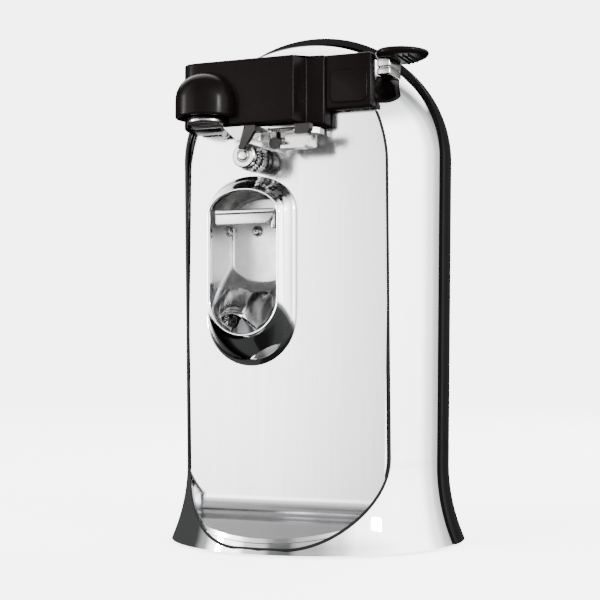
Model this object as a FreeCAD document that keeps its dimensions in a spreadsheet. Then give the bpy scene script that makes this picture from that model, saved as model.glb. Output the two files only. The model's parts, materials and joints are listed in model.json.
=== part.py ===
import FreeCAD, Part
import math
import os
import Sketcher
from FreeCAD import Placement, Rotation, Vector

# Electric can opener with a bottle opener in its front and a knife sharpener in its back.
# Millimetres, +Z up. The origin is on the round body's axis, on the counter. Seen from the
# front, +X is to the right and -Y is towards the person.
# The body is a round chrome shell with a flared base and a domed top, closed behind by a
# black cover. A flat satin panel fills the front. The black head is a lever that lifts about
# a pin at its left end and carries the cutter, the can guide and the lid magnet. Inside, a
# motor turns the drive wheel through three pairs of gears, and a grinding wheel on its tail.

DIMENSIONS = {
    # chrome shell and black rear cover, as radii and heights of one turned outline
    "foot_radius": 69.0,
    "rim_radius": 68.0,
    "rim_height": 3.8,
    "waist_radius": 61.8,
    "waist_height": 38.0,
    "shoulder_radius": 63.6,
    "shoulder_height": 180.0,
    "dome_rise": 55.5,
    "cover_proud": 0.9,
    "cover_rise": 59.5,
    "wall": 2.0,
    "shell_bottom": 1.2,
    "seam_plane": -4.0,
    # flat front panel
    "panel_face": -38.5,
    "panel_thickness": 1.6,
    "window_half_width": 49.6,
    "window_gap": 0.7,
    "window_corner": 39.0,
    "window_bottom": 3.2,
    "window_arch_start": 174.0,
    "window_top": 226.0,
    "ledge_height": 14.5,
    "ledge_bend": 9.0,
    "ledge_front": -72.0,
    # base
    "base_radius": 64.4,
    "base_bottom": 2.0,
    "base_thickness": 3.0,
    "foot_outer": 60.0,
    "foot_inner": 52.0,
    # bottle opener
    "opener_centre": -17.0,
    "opener_low": 84.0,
    "opener_high": 168.6,
    "opener_half_width": 21.6,
    "rim_half_width": 18.0,
    "rim_low": 95.6,
    "rim_high": 163.4,
    "rim_face": -48.5,
    "cavity_half_width": 16.6,
    "cavity_low": 97.0,
    "cavity_high": 162.0,
    "cavity_back": -24.0,
    "cavity_floor_rise": 23.0,
    # gear train, motor and drive wheel
    "drive_x": -10.5,
    "drive_z": 176.0,
    "shaft_radius": 3.0,
    "pin_radius": 2.0,
    "running_gap": 0.05,
    "front_plate_face": -17.0,
    "plate_thickness": 2.0,
    "rear_plate_face": 0.5,
    "rotor_radius": 12.9,
    "stator_bore": 13.3,
    "stator_depth": 20.0,
    "stator_front": 8.0,
    "rotor_shaft_radius": 2.5,
    "wheel_radius": 6.2,
    "wheel_front": -63.0,
    "wheel_back": -44.0,
    # lever head
    "pivot_x": -35.0,
    "pivot_z": 205.0,
    "head_left": -44.2,
    "head_right": 44.4,
    "head_step": 13.0,
    "head_back": -39.2,
    "head_front": -61.0,
    "head_setback": -45.0,
    "head_bottom": 189.0,
    "head_top": 221.5,
    "head_wall": 2.4,
    "pad_x": 54.2,
    "pad_y": -33.5,
    "pad_half_width": 12.5,
    "pad_half_depth": 13.5,
    "pad_thickness": 3.9,
    "pad_top": 223.2,
    # lid magnet
    "magnet_x": -28.8,
    "magnet_y": -62.0,
    "magnet_radius": 13.8,
    "magnet_low": 193.4,
    "magnet_high": 213.6,
    "cup_radius": 8.2,
    "cup_low": 190.6,
    "arm_pivot_x": -18.3,
    "arm_pivot_z": 185.6,
}

# teeth, module, rear face and width of each toothed wheel; the reduction is about 64 to 1
PINION_TEETH, LOWER_TEETH, LOWER_MODULE = 9, 45, 0.8
LOWER_SMALL_TEETH, UPPER_TEETH, UPPER_MODULE = 10, 40, 1.0
UPPER_SMALL_TEETH, OUTPUT_TEETH, OUTPUT_MODULE = 10, 32, 1.25
WHEEL_TEETH = 26

doc = FreeCAD.newDocument("can_opener")
sheet = doc.addObject("Spreadsheet::Sheet", "dims")
for row, (alias, number) in enumerate(DIMENSIONS.items(), start=1):
    sheet.set(f"A{row}", alias)
    sheet.set(f"B{row}", str(number))
    sheet.setAlias(f"B{row}", alias)
doc.recompute()


class Size:
    """A length that carries its number and the sheet formula that gives it."""

    def __init__(self, value, text):
        self.value = value
        self.text = text

    def __add__(self, other):
        other = as_size(other)
        return Size(self.value + other.value, f"({self.text} + {other.text})")

    def __sub__(self, other):
        other = as_size(other)
        return Size(self.value - other.value, f"({self.text} - {other.text})")

    def __mul__(self, factor):
        return Size(self.value * factor, f"({self.text} * {factor:.6f})")

    def __neg__(self):
        return Size(-self.value, f"(0 - {self.text})")

    def __radd__(self, other):
        return as_size(other) + self

    def __rsub__(self, other):
        return as_size(other) - self


def as_size(amount):
    """A plain number becomes a Size whose formula is the number itself."""
    if isinstance(amount, Size):
        return amount
    text = f"{amount:.6f}" if amount >= 0 else f"(0 - {-amount:.6f})"
    return Size(float(amount), text)


def dim(alias):
    """The Size held in one cell of the sheet."""
    return Size(DIMENSIONS[alias], "dims." + alias)


def bind(thing, prop, amount):
    """Set a property from the sheet."""
    thing.setExpression(prop, as_size(amount).text)


UP = Rotation()
FRONT = Rotation(Vector(1, 0, 0), 90)    # local X, Y, Z become right, up, front
RIGHT = Rotation(Vector(0, 1, 0), 90)    # local Z points to the right


def place(thing, where, turn=UP):
    """Turn a piece and bind its place to the sheet."""
    thing.Placement = Placement(Vector(0, 0, 0), turn)
    for name, amount in zip("xyz", where):
        bind(thing, f"Placement.Base.{name}", amount)
    return thing


# --------------------------------------------------------------- primitives and booleans

def box(name, x_span, y_span, z_span):
    """A block between three pairs of sizes."""
    piece = doc.addObject("Part::Box", name)
    for prop, (low, high) in zip(("Length", "Width", "Height"), (x_span, y_span, z_span)):
        bind(piece, prop, as_size(high) - low)
    return place(piece, [span[0] for span in (x_span, y_span, z_span)])


def rod(name, radius, length, where, turn=FRONT):
    """A cylinder that starts at where and runs along the turned Z axis."""
    piece = doc.addObject("Part::Cylinder", name)
    bind(piece, "Radius", radius)
    bind(piece, "Height", length)
    return place(piece, where, turn)


def cone(name, radius_low, radius_high, length, where, turn=FRONT):
    """A truncated cone along the turned Z axis."""
    piece = doc.addObject("Part::Cone", name)
    bind(piece, "Radius1", radius_low)
    bind(piece, "Radius2", radius_high)
    bind(piece, "Height", length)
    return place(piece, where, turn)


def fuse(name, *pieces):
    """One solid from several that overlap or touch, or a group of separate solids."""
    piece = doc.addObject("Part::MultiFuse", name)
    piece.Shapes = list(pieces)
    piece.Refine = True
    return piece


def common(name, *pieces):
    """What several solids share."""
    piece = doc.addObject("Part::MultiCommon", name)
    piece.Shapes = list(pieces)
    return piece


def cut(name, base, *tools):
    """The base without the tools."""
    piece = doc.addObject("Part::Cut", name)
    piece.Base = base
    piece.Tool = tools[0] if len(tools) == 1 else fuse(name + "_tools", *tools)
    piece.Refine = True
    return piece


# ------------------------------------------------------------------- sketches and bodies

def draw(body, name, plane, outline, offset=0):
    """A closed sketch on one of the body's own origin planes.

    Each point of the outline is (u, v), reached by a line, or (u, v, mid_u, mid_v),
    reached by an arc through the middle point.
    """
    sketch = body.newObject("Sketcher::SketchObject", name)
    origin_plane = [item for item in body.Origin.OriginFeatures if item.Role == plane][0]
    sketch.AttachmentSupport = (origin_plane, [""])
    sketch.MapMode = "FlatFace"
    bind(sketch, "AttachmentOffset.Base.z", offset)
    points = [[as_size(number) for number in point] for point in outline]
    flat = [Vector(point[0].value, point[1].value, 0) for point in points]
    starts = []
    for index, start in enumerate(flat):
        following = points[(index + 1) % len(points)]
        end = flat[(index + 1) % len(points)]
        if len(following) == 2:
            sketch.addGeometry(Part.LineSegment(start, end), False)
            starts.append(1)
            continue
        middle = Vector(following[2].value, following[3].value, 0)
        anticlockwise = (middle - start).cross(end - middle).z > 0
        ends = (start, end) if anticlockwise else (end, start)
        sketch.addGeometry(Part.Arc(ends[0], middle, ends[1]), False)
        starts.append(1 if anticlockwise else 2)
    for index in range(len(flat)):
        following = (index + 1) % len(flat)
        own_end = 3 - starts[index]
        sketch.addConstraint(
            Sketcher.Constraint("Coincident", index, own_end, following, starts[following])
        )
    for index, point in enumerate(points):
        for kind, amount in zip(("DistanceX", "DistanceY"), point):
            number = sketch.addConstraint(
                Sketcher.Constraint(kind, -1, 1, index, starts[index], amount.value)
            )
            sketch.setExpression(f"Constraints[{number}]", amount.text)
    for index in range(len(points)):
        following = points[(index + 1) % len(points)]
        if len(following) == 4:
            hold_arc(sketch, index, following[2:])
    return sketch


def hold_arc(sketch, arc, middle):
    """Keep an arc on its middle point with a construction point."""
    spot = sketch.addGeometry(Part.Point(Vector(middle[0].value, middle[1].value, 0)), True)
    for kind, amount in zip(("DistanceX", "DistanceY"), middle):
        number = sketch.addConstraint(Sketcher.Constraint(kind, -1, 1, spot, 1, amount.value))
        sketch.setExpression(f"Constraints[{number}]", amount.text)
    sketch.addConstraint(Sketcher.Constraint("PointOnObject", spot, 1, arc))


def draw_circles(body, name, *radii):
    """Circles about the body's own Z axis, in its XY plane."""
    sketch = body.newObject("Sketcher::SketchObject", name)
    origin_plane = [item for item in body.Origin.OriginFeatures if item.Role == "XY_Plane"][0]
    sketch.AttachmentSupport = (origin_plane, [""])
    sketch.MapMode = "FlatFace"
    for index, radius in enumerate(as_size(item) for item in radii):
        circle = Part.Circle(Vector(0, 0, 0), Vector(0, 0, 1), radius.value)
        sketch.addGeometry(circle, False)
        sketch.addConstraint(Sketcher.Constraint("Coincident", index, 3, -1, 1))
        number = sketch.addConstraint(Sketcher.Constraint("Radius", index, radius.value))
        sketch.setExpression(f"Constraints[{number}]", radius.text)
    return sketch


def pad(body, name, sketch, length):
    """Raise a sketch along its own normal."""
    feature = body.newObject("PartDesign::Pad", name)
    feature.Profile = sketch
    bind(feature, "Length", length)
    sketch.Visibility = False
    return feature


def prism(name, plane, outline, start, end):
    """A Body padded from a sketch. XY rises along +Z, YZ along +X and XZ along -Y."""
    body = doc.addObject("PartDesign::Body", name)
    sign = -1 if plane == "XZ_Plane" else 1
    offset = as_size(start) * sign
    sketch = draw(body, name + "_outline", plane, outline, offset)
    pad(body, name + "_pad", sketch, as_size(end) * sign - offset)
    return body


def turned(name, outline, where=(0, 0, 0), turn=UP):
    """A Body turned from an outline of (radius, height) about its own Z axis."""
    body = doc.addObject("PartDesign::Body", name)
    sketch = draw(body, name + "_outline", "XZ_Plane", outline)
    feature = body.newObject("PartDesign::Revolution", name + "_turn")
    feature.Profile = sketch
    feature.ReferenceAxis = (sketch, ["V_Axis"])
    feature.Angle = 360
    return place(body, where, turn)


def rounded_box_outline(centre, half_width, low, high, radius):
    """A rectangle with round corners, as (u, v) points and arcs."""
    bend = radius * (1 - KNEE)
    left, right = centre - half_width, centre + half_width
    return [
        (left + radius, low, left + bend, low + bend),
        (right - radius, low),
        (right, low + radius, right - bend, low + bend),
        (right, high - radius),
        (right - radius, high, right - bend, high - bend),
        (left + radius, high),
        (left, high - radius, left + bend, high - bend),
        (left, low + radius),
    ]


STEEP, SLOPE, KNEE = (math.cos(math.radians(angle)) for angle in (22.5, 67.5, 45.0))


def crown_arcs(centre, base, half, rise):
    """Half an ellipse from right to left over a base line, as four arcs."""
    return [
        (centre + half * KNEE, base + rise * KNEE, centre + half * STEEP, base + rise * SLOPE),
        (centre, base + rise, centre + half * SLOPE, base + rise * STEEP),
        (centre - half * KNEE, base + rise * KNEE, centre - half * SLOPE, base + rise * STEEP),
        (centre - half, base, centre - half * STEEP, base + rise * SLOPE),
    ]


def opener_outline(half, low, high, crown):
    """The bottle opener's outline: a round foot, straight sides and a flatter crown."""
    centre = dim("opener_centre")
    return [
        (centre - half, low + half),
        (centre + half, low + half, centre, low),
        (centre + half, high - crown),
    ] + crown_arcs(centre, high - crown, half, crown)


# ------------------------------------------------------------- the turned outer envelope

def envelope(name, inset, proud=0, rise="dome_rise"):
    """The solid of revolution inside the shell's outer face, moved in by inset."""
    radius_of = lambda alias: dim(alias) + proud - inset
    radius = radius_of("shoulder_radius")
    height = dim(rise) - inset
    centre = dim("shoulder_height")
    flare_mid = dim("rim_height") * 0.55 + dim("waist_height") * 0.45
    flare_radius = radius_of("rim_radius") * 0.26 + radius_of("waist_radius") * 0.74
    return turned(name, [
        (0, dim("shell_bottom")),
        (radius_of("foot_radius"), dim("shell_bottom")),
        (radius_of("rim_radius"), dim("rim_height")),
        (radius_of("waist_radius"), dim("waist_height"), flare_radius, flare_mid),
        (radius, centre),
        (radius * KNEE, centre + height * KNEE, radius * STEEP, centre + height * SLOPE),
        (0, centre + height, radius * SLOPE, centre + height * STEEP),
    ])


def window_prism(name, inset, back):
    """The U-shaped opening of the front panel, as a prism open to the front."""
    half = dim("window_half_width") - inset
    low = dim("window_bottom") + inset
    start = dim("window_arch_start")
    top = dim("window_top") - inset
    corner = dim("window_corner")
    bend = corner * (1 - KNEE)
    return prism(name, "XZ_Plane", [
        (corner - half, low, bend - half, low + bend),
        (half - corner, low),
        (half, low + corner, half - bend, low + bend),
        (half, start),
    ] + crown_arcs(0, start, half, top - start) + [
        (-half, low + corner),
    ], back, dim("ledge_front") - 10)


def rear_half(name):
    """All that lies behind the seam between shell and cover."""
    return box(name, (-90, 90), (dim("seam_plane"), 90), (-10, 260))


# --------------------------------------------------------------------- shells and panel

shell_outer = envelope("shell_outer", 0)
shell_inner = envelope("shell_inner", dim("wall"))
cup_left, cup_right = 41.3, 51.2
cup_low, cup_high = 199.5, 213.5
cup_middle = (cup_left + cup_right) / 2
cup_radius = (cup_right - cup_left) / 2
CUP_LEAN = 3.4


def cup_prism(name, inset, back):
    """The U-shaped finger notch in the right shoulder."""
    left, right = cup_left + inset, cup_right - inset
    return prism(name, "XZ_Plane", [
        (left, cup_high),
        (left, cup_low + cup_radius),
        (right, cup_low + cup_radius, cup_middle, cup_low + inset),
        (right - CUP_LEAN, cup_high),
    ], back, -60)


face, thick = dim("panel_face"), dim("panel_thickness")
bend, ledge, ledge_front = dim("ledge_bend"), dim("ledge_height"), dim("ledge_front")
LEDGE_FALL = 9.0
arc_in = 1 - KNEE
back_line = [
    (ledge_front, ledge - LEDGE_FALL - thick),
    (face - bend, ledge - thick),
    (face + thick, ledge + bend,
     face - bend * arc_in + thick * KNEE, ledge + bend * arc_in - thick * KNEE),
    (face + thick, 240),
]
panel_room = prism("panel_room", "YZ_Plane", [
    (ledge_front - 30, 240),
    (ledge_front - 30, ledge - LEDGE_FALL - thick),
] + back_line, -60, 60)
LAND_START = 196.0
CAVITY_CROWN = 10.5
FLANGE_LOW, FLANGE_HIGH = 9.0, 60.0
shell_land = box("shell_land", (-70, 70), (-90, face - 0.1), (LAND_START, 250))
front_fill = box("shell_front_fill", (-70, 70), (-90, face + thick), (150, 250))
shell_hollow = cut("shell_hollow", shell_inner, front_fill)
body_shell = cut(
    "body_shell", shell_outer, shell_hollow, rear_half("shell_rear_half"), shell_land,
    common("shell_window_room", window_prism("shell_window", 0, -20), panel_room),
    cup_prism("shell_notch", 0, -16)
)

cover_outer = envelope("cover_outer", 0, dim("cover_proud"), "cover_rise")
cover_inner = envelope("cover_inner", dim("wall") + dim("cover_proud"), dim("cover_proud"),
                       "cover_rise")
front_half = box("cover_front_half", (-90, 90), (-90, dim("seam_plane")), (-10, 260))
SHARPENER_X, SHARPENER_Z = (2.0, 30.0), (108.0, 138.0)
sharpener_window = box("sharpener_window", SHARPENER_X, (30, 80), SHARPENER_Z)
GLAND_Z = 22.0
gland_hole = rod("gland_hole", 5.0, 60, (0, 80, GLAND_Z))
REAR_SCREWS = [(-38.0, 34.0), (38.0, 34.0), (-36.0, 190.0), (36.0, 190.0)]
SCREW_SEAT = 40.0
screw_bosses = [
    rod(f"cover_boss_{number}", 5.2, 40, (x, 62, z))
    for number, (x, z) in enumerate(REAR_SCREWS)
]
screw_wells = [
    rod(f"cover_well_{number}", 3.6, 40, (x, SCREW_SEAT + 40, z))
    for number, (x, z) in enumerate(REAR_SCREWS)
]
screw_holes = [
    rod(f"cover_hole_{number}", 1.7, 60, (x, 62, z))
    for number, (x, z) in enumerate(REAR_SCREWS)
]
bosses_inside = common("cover_bosses", fuse("cover_boss_group", *screw_bosses), cover_outer)
hollow_cover = cut("cover_hollow", cover_outer, cover_inner)
rear_cover = cut(
    "rear_cover", fuse("cover_with_bosses", hollow_cover, bosses_inside), front_half,
    sharpener_window, gland_hole, *screw_wells, *screw_holes
)
rear_screws = fuse("rear_screws", *[
    fuse(
        f"rear_screw_{number}",
        rod(f"rear_screw_head_{number}", 3.2, 2.2, (x, SCREW_SEAT + 2.2, z)),
        rod(f"rear_screw_shank_{number}", 1.65, 18, (x, SCREW_SEAT, z)),
    )
    for number, (x, z) in enumerate(REAR_SCREWS)
])

cavity_half, cavity_low, cavity_high = (
    dim("cavity_half_width"), dim("cavity_low"), dim("cavity_high")
)
panel_strip = prism("panel_strip", "YZ_Plane", [
    (face, 240),
    (face, ledge + bend),
    (face - bend, ledge, face - bend * arc_in, ledge + bend * arc_in),
    (ledge_front, ledge - LEDGE_FALL),
] + back_line, -60, 60)
opener_hole = prism("panel_opener_hole", "XZ_Plane", opener_outline(
    cavity_half + 1.6, cavity_low - 1.6, cavity_high + 1.6, CAVITY_CROWN + 1.6), -30, -60)
drive_hole = rod("panel_drive_hole", 4.6, 20, (dim("drive_x"), -30, dim("drive_z")))
pivot_hole = rod("panel_pivot_hole", 2.2, 20, (dim("pivot_x"), -30, dim("pivot_z")))
panel_side = dim("window_half_width") - dim("window_gap")
panel_flange = common(
    "panel_flange", panel_strip, envelope("flange_envelope", dim("wall") + 0.3),
    box("flange_width", (-panel_side, panel_side), (-90, -20), (FLANGE_LOW, FLANGE_HIGH))
)
front_panel = cut(
    "front_panel",
    fuse(
        "panel_blank", panel_flange,
        common("panel_in_window", panel_strip, envelope("panel_envelope", 0.6),
               window_prism("panel_window", dim("window_gap"), -20)),
    ),
    opener_hole, drive_hole, pivot_hole
)

# ------------------------------------------------------------------------- base and feet

BASE_SCREWS = [(44.0, 20.0), (-44.0, 20.0), (26.0, -36.0), (-26.0, -36.0)]
base_disc = rod("base_disc", dim("base_radius"), dim("base_thickness"),
                (0, 0, dim("base_bottom")), UP)
base_holes = [
    rod(f"base_hole_{number}", 1.7, 20, (x, y, -5), UP)
    for number, (x, y) in enumerate(BASE_SCREWS)
]
base_plate = cut("base_plate", base_disc, *base_holes)
base_screws = fuse("base_screws", *[
    fuse(
        f"base_screw_{number}",
        rod(f"base_screw_head_{number}", 3.0, 1.6, (x, y, dim("base_bottom") - 1.6), UP),
        rod(f"base_screw_shank_{number}", 1.65, 14, (x, y, dim("base_bottom")), UP),
    )
    for number, (x, y) in enumerate(BASE_SCREWS)
])
foot_ring = turned("foot_ring", [
    (dim("foot_inner"), 0),
    (dim("foot_outer"), 0),
    (dim("foot_outer"), dim("base_bottom")),
    (dim("foot_inner"), dim("base_bottom")),
])

# ------------------------------------------------------------------------- bottle opener

opener_body = doc.addObject("PartDesign::Body", "opener_boss")
boss_low = draw(opener_body, "boss_low", "XZ_Plane", opener_outline(
    dim("opener_half_width"), dim("opener_low"), dim("opener_high"), 15.0), -face)
boss_high = draw(opener_body, "boss_high", "XZ_Plane", opener_outline(
    dim("rim_half_width"), dim("rim_low"), dim("rim_high"), 11.9), -dim("rim_face"))
boss_loft = opener_body.newObject("PartDesign::AdditiveLoft", "boss_loft")
boss_loft.Profile = boss_low
boss_loft.Sections = [boss_high]
boss_loft.Ruled = True

opener_sleeve = prism("opener_sleeve", "XZ_Plane", opener_outline(
    cavity_half + 1.3, cavity_low - 1.3, cavity_high + 1.3, CAVITY_CROWN + 1.3),
    dim("cavity_back") + 1.5, face)
opener_hollow = prism("opener_hollow", "XZ_Plane", opener_outline(
    cavity_half, cavity_low, cavity_high, CAVITY_CROWN), dim("cavity_back"),
    dim("rim_face") - 5)
opener_ramp = prism("opener_ramp", "YZ_Plane", [
    (dim("cavity_back") + 5, dim("cavity_low") - 8),
    (dim("cavity_back") + 5, dim("cavity_low") + dim("cavity_floor_rise")),
    (dim("cavity_back"), dim("cavity_low") + dim("cavity_floor_rise")),
    (dim("rim_face"), dim("cavity_low") + 1),
    (dim("rim_face"), dim("cavity_low") - 8),
], -50, 20)
opener_cavity = cut("opener_cavity", opener_hollow, opener_ramp)
OPENER_SCREW_Z = 145.6
back_screw_hole = rod("opener_back_hole", 1.7, 12, (-20.5, -18, OPENER_SCREW_Z))
side_screw_hole = rod("opener_side_hole", 1.7, 12, (-40, -28, OPENER_SCREW_Z), RIGHT)
bottle_opener_housing = cut(
    "bottle_opener_housing", fuse("opener_walls", opener_body, opener_sleeve),
    opener_cavity, back_screw_hole, side_screw_hole
)
left_wall = dim("opener_centre") - dim("cavity_half_width")
back_wall = dim("cavity_back")
bottle_opener_screws = fuse(
    "bottle_opener_screws",
    fuse("opener_back_screw",
         rod("opener_back_head", 2.6, 1.6, (-20.5, back_wall, OPENER_SCREW_Z)),
         rod("opener_back_shank", 1.65, 3.5, (-20.5, back_wall + 3.5, OPENER_SCREW_Z))),
    fuse("opener_side_screw",
         rod("opener_side_head", 2.6, 1.6, (left_wall, -28, OPENER_SCREW_Z), RIGHT),
         rod("opener_side_shank", 1.65, 3, (left_wall - 3, -28, OPENER_SCREW_Z), RIGHT)),
)
PLATE_GAP = 0.1
plate_left = dim("opener_centre") - dim("cavity_half_width") + PLATE_GAP
plate_right = dim("opener_centre") + dim("cavity_half_width") - PLATE_GAP
bottle_opener_plate = fuse(
    "bottle_opener_plate",
    prism("opener_lip", "XZ_Plane", rounded_box_outline(
        dim("opener_centre"), 14.5, 147.0, 154.5, 3.0), -44.4, -46.0),
    box("opener_bar", (plate_left + 1.3, plate_right - 1.3), (-46.8, -44.4), (151.7, 153.6)),
    box("opener_shelf", (-31, -3), (-44.4, back_wall), (151.7, 153.6)),
)

# --------------------------------------------------------------- shoulder cup and rest

shoulder_cup = cut(
    "shoulder_cup",
    common("cup_blank", cup_prism("cup_outer", 0.15, -18), envelope("cup_envelope", 0.4),
           box("cup_limit", (30, 60), (face, 0), (190, 230))),
    cup_prism("cup_inner", 1.6, -24)
)
rest_block = box("rest_block", (45.0, 51.4), (-41.0, -25.0), (211.6, 219.0))
rest_groove = box("rest_groove", (40, 52), (-40, -35.2), (214.6, 215.5))
lever_rest = cut("lever_rest", rest_block, rest_groove, shell_outer)

# ------------------------------------------------------------ toothed wheels and gearing

def toothed_disc(name, teeth, module, bore, back, width, sharpness=0.55):
    """A disc with straight-sided teeth, its first tooth on the local X axis.

    The disc lies between two heights on its own Z axis and has a plain bore.
    """
    pitch = teeth * module / 2
    root, tip = pitch - 1.2 * module, pitch + 0.85 * module
    body = doc.addObject("PartDesign::Body", name)
    circles = draw_circles(body, name + "_blank", root, bore)
    circles.AttachmentOffset = Placement(Vector(0, 0, back), Rotation())
    pad(body, name + "_blank_pad", circles, width)
    foot, nose = 1.02 * module, sharpness * 0.62 * module
    tooth = draw(body, name + "_tooth", "XY_Plane", [
        (root - 0.3 * module, -foot),
        (root, -foot),
        (tip, -nose),
        (tip, nose),
        (root, foot),
        (root - 0.3 * module, foot),
    ], back)
    tooth_pad = pad(body, name + "_tooth_pad", tooth, width)
    pattern = body.newObject("PartDesign::PolarPattern", name + "_teeth")
    pattern.Originals = [tooth_pad]
    pattern.Axis = (circles, ["N_Axis"])
    pattern.Angle = 360
    pattern.Occurrences = teeth
    body.Tip = pattern
    return body


def mesh_step(start, teeth, mate_teeth, module, degrees):
    """The centre of a mate that meshes with a wheel at start, in a given direction."""
    reach = (teeth + mate_teeth) * module / 2
    angle = math.radians(degrees)
    return (start[0] + reach * math.cos(angle), start[1] + reach * math.sin(angle))


def set_phase(body, centre, back, degrees):
    """Stand a wheel on its centre, facing front, with a tooth at the given angle."""
    turn = FRONT.multiply(Rotation(Vector(0, 0, 1), degrees))
    return place(body, (centre[0], back, centre[1]), turn)


TO_UPPER, TO_LOWER, TO_MOTOR = -25.0, -75.0, -100.0
drive_centre = (DIMENSIONS["drive_x"], DIMENSIONS["drive_z"])
upper_centre = mesh_step(drive_centre, OUTPUT_TEETH, UPPER_SMALL_TEETH, OUTPUT_MODULE,
                         TO_UPPER)
lower_centre = mesh_step(upper_centre, UPPER_TEETH, LOWER_SMALL_TEETH, UPPER_MODULE,
                         TO_LOWER)
motor_centre = mesh_step(lower_centre, LOWER_TEETH, PINION_TEETH, LOWER_MODULE, TO_MOTOR)


def facing_gap(direction, teeth):
    """The phase that puts a gap, not a tooth, towards the wheel it came from."""
    return direction + 180 + 180 / teeth


pin, gap, shaft = dim("pin_radius"), dim("running_gap"), dim("shaft_radius")
GEAR_SLOTS = {"output": (-9.0, 5.0), "upper": (-4.5, 4.0), "lower": (-1.0, 3.0)}


def gear_disc(name, teeth, module, bore, slot, centre, phase):
    """A toothed disc in one of the three planes of the gear box."""
    back, width = GEAR_SLOTS[slot]
    body = toothed_disc(name, teeth, module, bore, 0, width)
    return set_phase(body, centre, back, phase)


output_gear = gear_disc("output_gear", OUTPUT_TEETH, OUTPUT_MODULE, shaft, "output",
                        drive_centre, TO_UPPER)
upper_idler_gear = fuse(
    "upper_idler_gear",
    gear_disc("upper_small", UPPER_SMALL_TEETH, OUTPUT_MODULE, pin + gap, "output",
              upper_centre, facing_gap(TO_UPPER, UPPER_SMALL_TEETH)),
    gear_disc("upper_large", UPPER_TEETH, UPPER_MODULE, pin + gap, "upper", upper_centre,
              TO_LOWER),
    cut("upper_hub", rod("upper_hub_rod", 4.2, 14.6, (upper_centre[0], 0.2, upper_centre[1])),
        rod("upper_hub_bore", pin + gap, 16, (upper_centre[0], 1, upper_centre[1]))),
)
lower_idler_gear = fuse(
    "lower_idler_gear",
    gear_disc("lower_small", LOWER_SMALL_TEETH, UPPER_MODULE, pin + gap, "upper",
              lower_centre, facing_gap(TO_LOWER, LOWER_SMALL_TEETH)),
    gear_disc("lower_large", LOWER_TEETH, LOWER_MODULE, pin + gap, "lower", lower_centre,
              TO_MOTOR),
    cut("lower_hub", rod("lower_hub_rod", 3.4, 14.6, (lower_centre[0], 0.2, lower_centre[1])),
        rod("lower_hub_bore", pin + gap, 16, (lower_centre[0], 1, lower_centre[1]))),
)
motor_pinion = gear_disc("motor_pinion", PINION_TEETH, LOWER_MODULE, 1.6, "lower",
                         motor_centre, facing_gap(TO_MOTOR, PINION_TEETH))

# ---------------------------------------------------------------------- gear box frame

plate = dim("plate_thickness")
front_plate_face, rear_plate_face = dim("front_plate_face"), dim("rear_plate_face")
box_front = front_plate_face + plate
PLATE_X, PLATE_Z = (-40.0, 34.0), (96.0, 211.0)
PILLARS = [(-34.0, 102.0), (-13.0, 102.0), (-27.0, 206.0), (28.0, 206.0)]


def pin_holes(name, radius, places):
    """Tools for a row of holes right through both gear plates."""
    return [
        rod(f"{name}_{number}", radius, 60, (x, 30, z))
        for number, (x, z) in enumerate(places)
    ]


gear_plate_front = cut(
    "gear_plate_front",
    box("front_plate_blank", PLATE_X, (front_plate_face, box_front), PLATE_Z),
    *pin_holes("front_plate_pin", pin, [upper_centre, lower_centre,
                                        (dim("pivot_x"), dim("pivot_z"))]),
    *pin_holes("front_plate_bush", 4.5, [drive_centre]),
)
gear_plate_rear = cut(
    "gear_plate_rear",
    box("rear_plate_blank", PLATE_X, (rear_plate_face, rear_plate_face + plate), PLATE_Z),
    *pin_holes("rear_plate_pin", pin, [upper_centre, lower_centre]),
    *pin_holes("rear_plate_shaft", shaft + gap, [drive_centre]),
    *pin_holes("rear_plate_bearing", 5.0, [motor_centre]),
)
gear_plate_pillars = fuse("gear_plate_pillars", *[
    rod(f"pillar_{number}", 2.8, rear_plate_face - box_front, (x, rear_plate_face, z))
    for number, (x, z) in enumerate(PILLARS)
])
pin_length = rear_plate_face + plate - front_plate_face
upper_idler_pin = rod("upper_idler_pin", pin, pin_length,
                      (upper_centre[0], rear_plate_face + plate, upper_centre[1]))
lower_idler_pin = rod("lower_idler_pin", pin, pin_length,
                      (lower_centre[0], rear_plate_face + plate, lower_centre[1]))

# ------------------------------------------------------------- drive shaft and can wheel

DRIVE_BUSH_FLANGE = 2.0
drive_x, drive_z = dim("drive_x"), dim("drive_z")
drive_bush = cut(
    "drive_bush",
    fuse("bush_solid",
         rod("bush_barrel", 4.5, box_front - face, (drive_x, box_front, drive_z)),
         rod("bush_flange", 5.8, DRIVE_BUSH_FLANGE, (drive_x, face, drive_z))),
    rod("bush_bore", shaft + gap, 60, (drive_x, 0, drive_z)),
)
drive_shaft = rod("drive_shaft", shaft, rear_plate_face + plate - dim("wheel_front") - 1.5,
                  (drive_x, rear_plate_face + plate, drive_z))
washer_back = face - DRIVE_BUSH_FLANGE - 0.3
drive_washer = cut(
    "drive_washer",
    rod("washer_disc", 5.0, washer_back - dim("wheel_back"), (drive_x, washer_back, drive_z)),
    rod("washer_bore", shaft, 20, (drive_x, -35, drive_z)),
)
wheel_core = turned("wheel_core", [
    (shaft, 0),
    (5.3, 0),
    (5.3, 5.2),
    (4.1, 6.0),
    (4.1, 8.4),
    (5.0, 9.0),
    (5.0, 12.0),
    (4.1, 12.8),
    (4.1, 15.4),
    (5.2, 15.8),
    (5.2, 18.4),
    (4.6, 19.0),
    (shaft, 19.0),
], (drive_x, dim("wheel_back"), drive_z), FRONT)
wheel_module = 2 * DIMENSIONS["wheel_radius"] / (WHEEL_TEETH + 1.7)
wheel_rims = [
    set_phase(toothed_disc(f"wheel_rim_{number}", WHEEL_TEETH, wheel_module, shaft, back,
                           width), drive_centre, dim("wheel_back"), 0)
    for number, (back, width) in enumerate([(0.6, 4.2), (16.0, 2.4)])
]
drive_wheel = fuse("drive_wheel", wheel_core, *wheel_rims)
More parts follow.
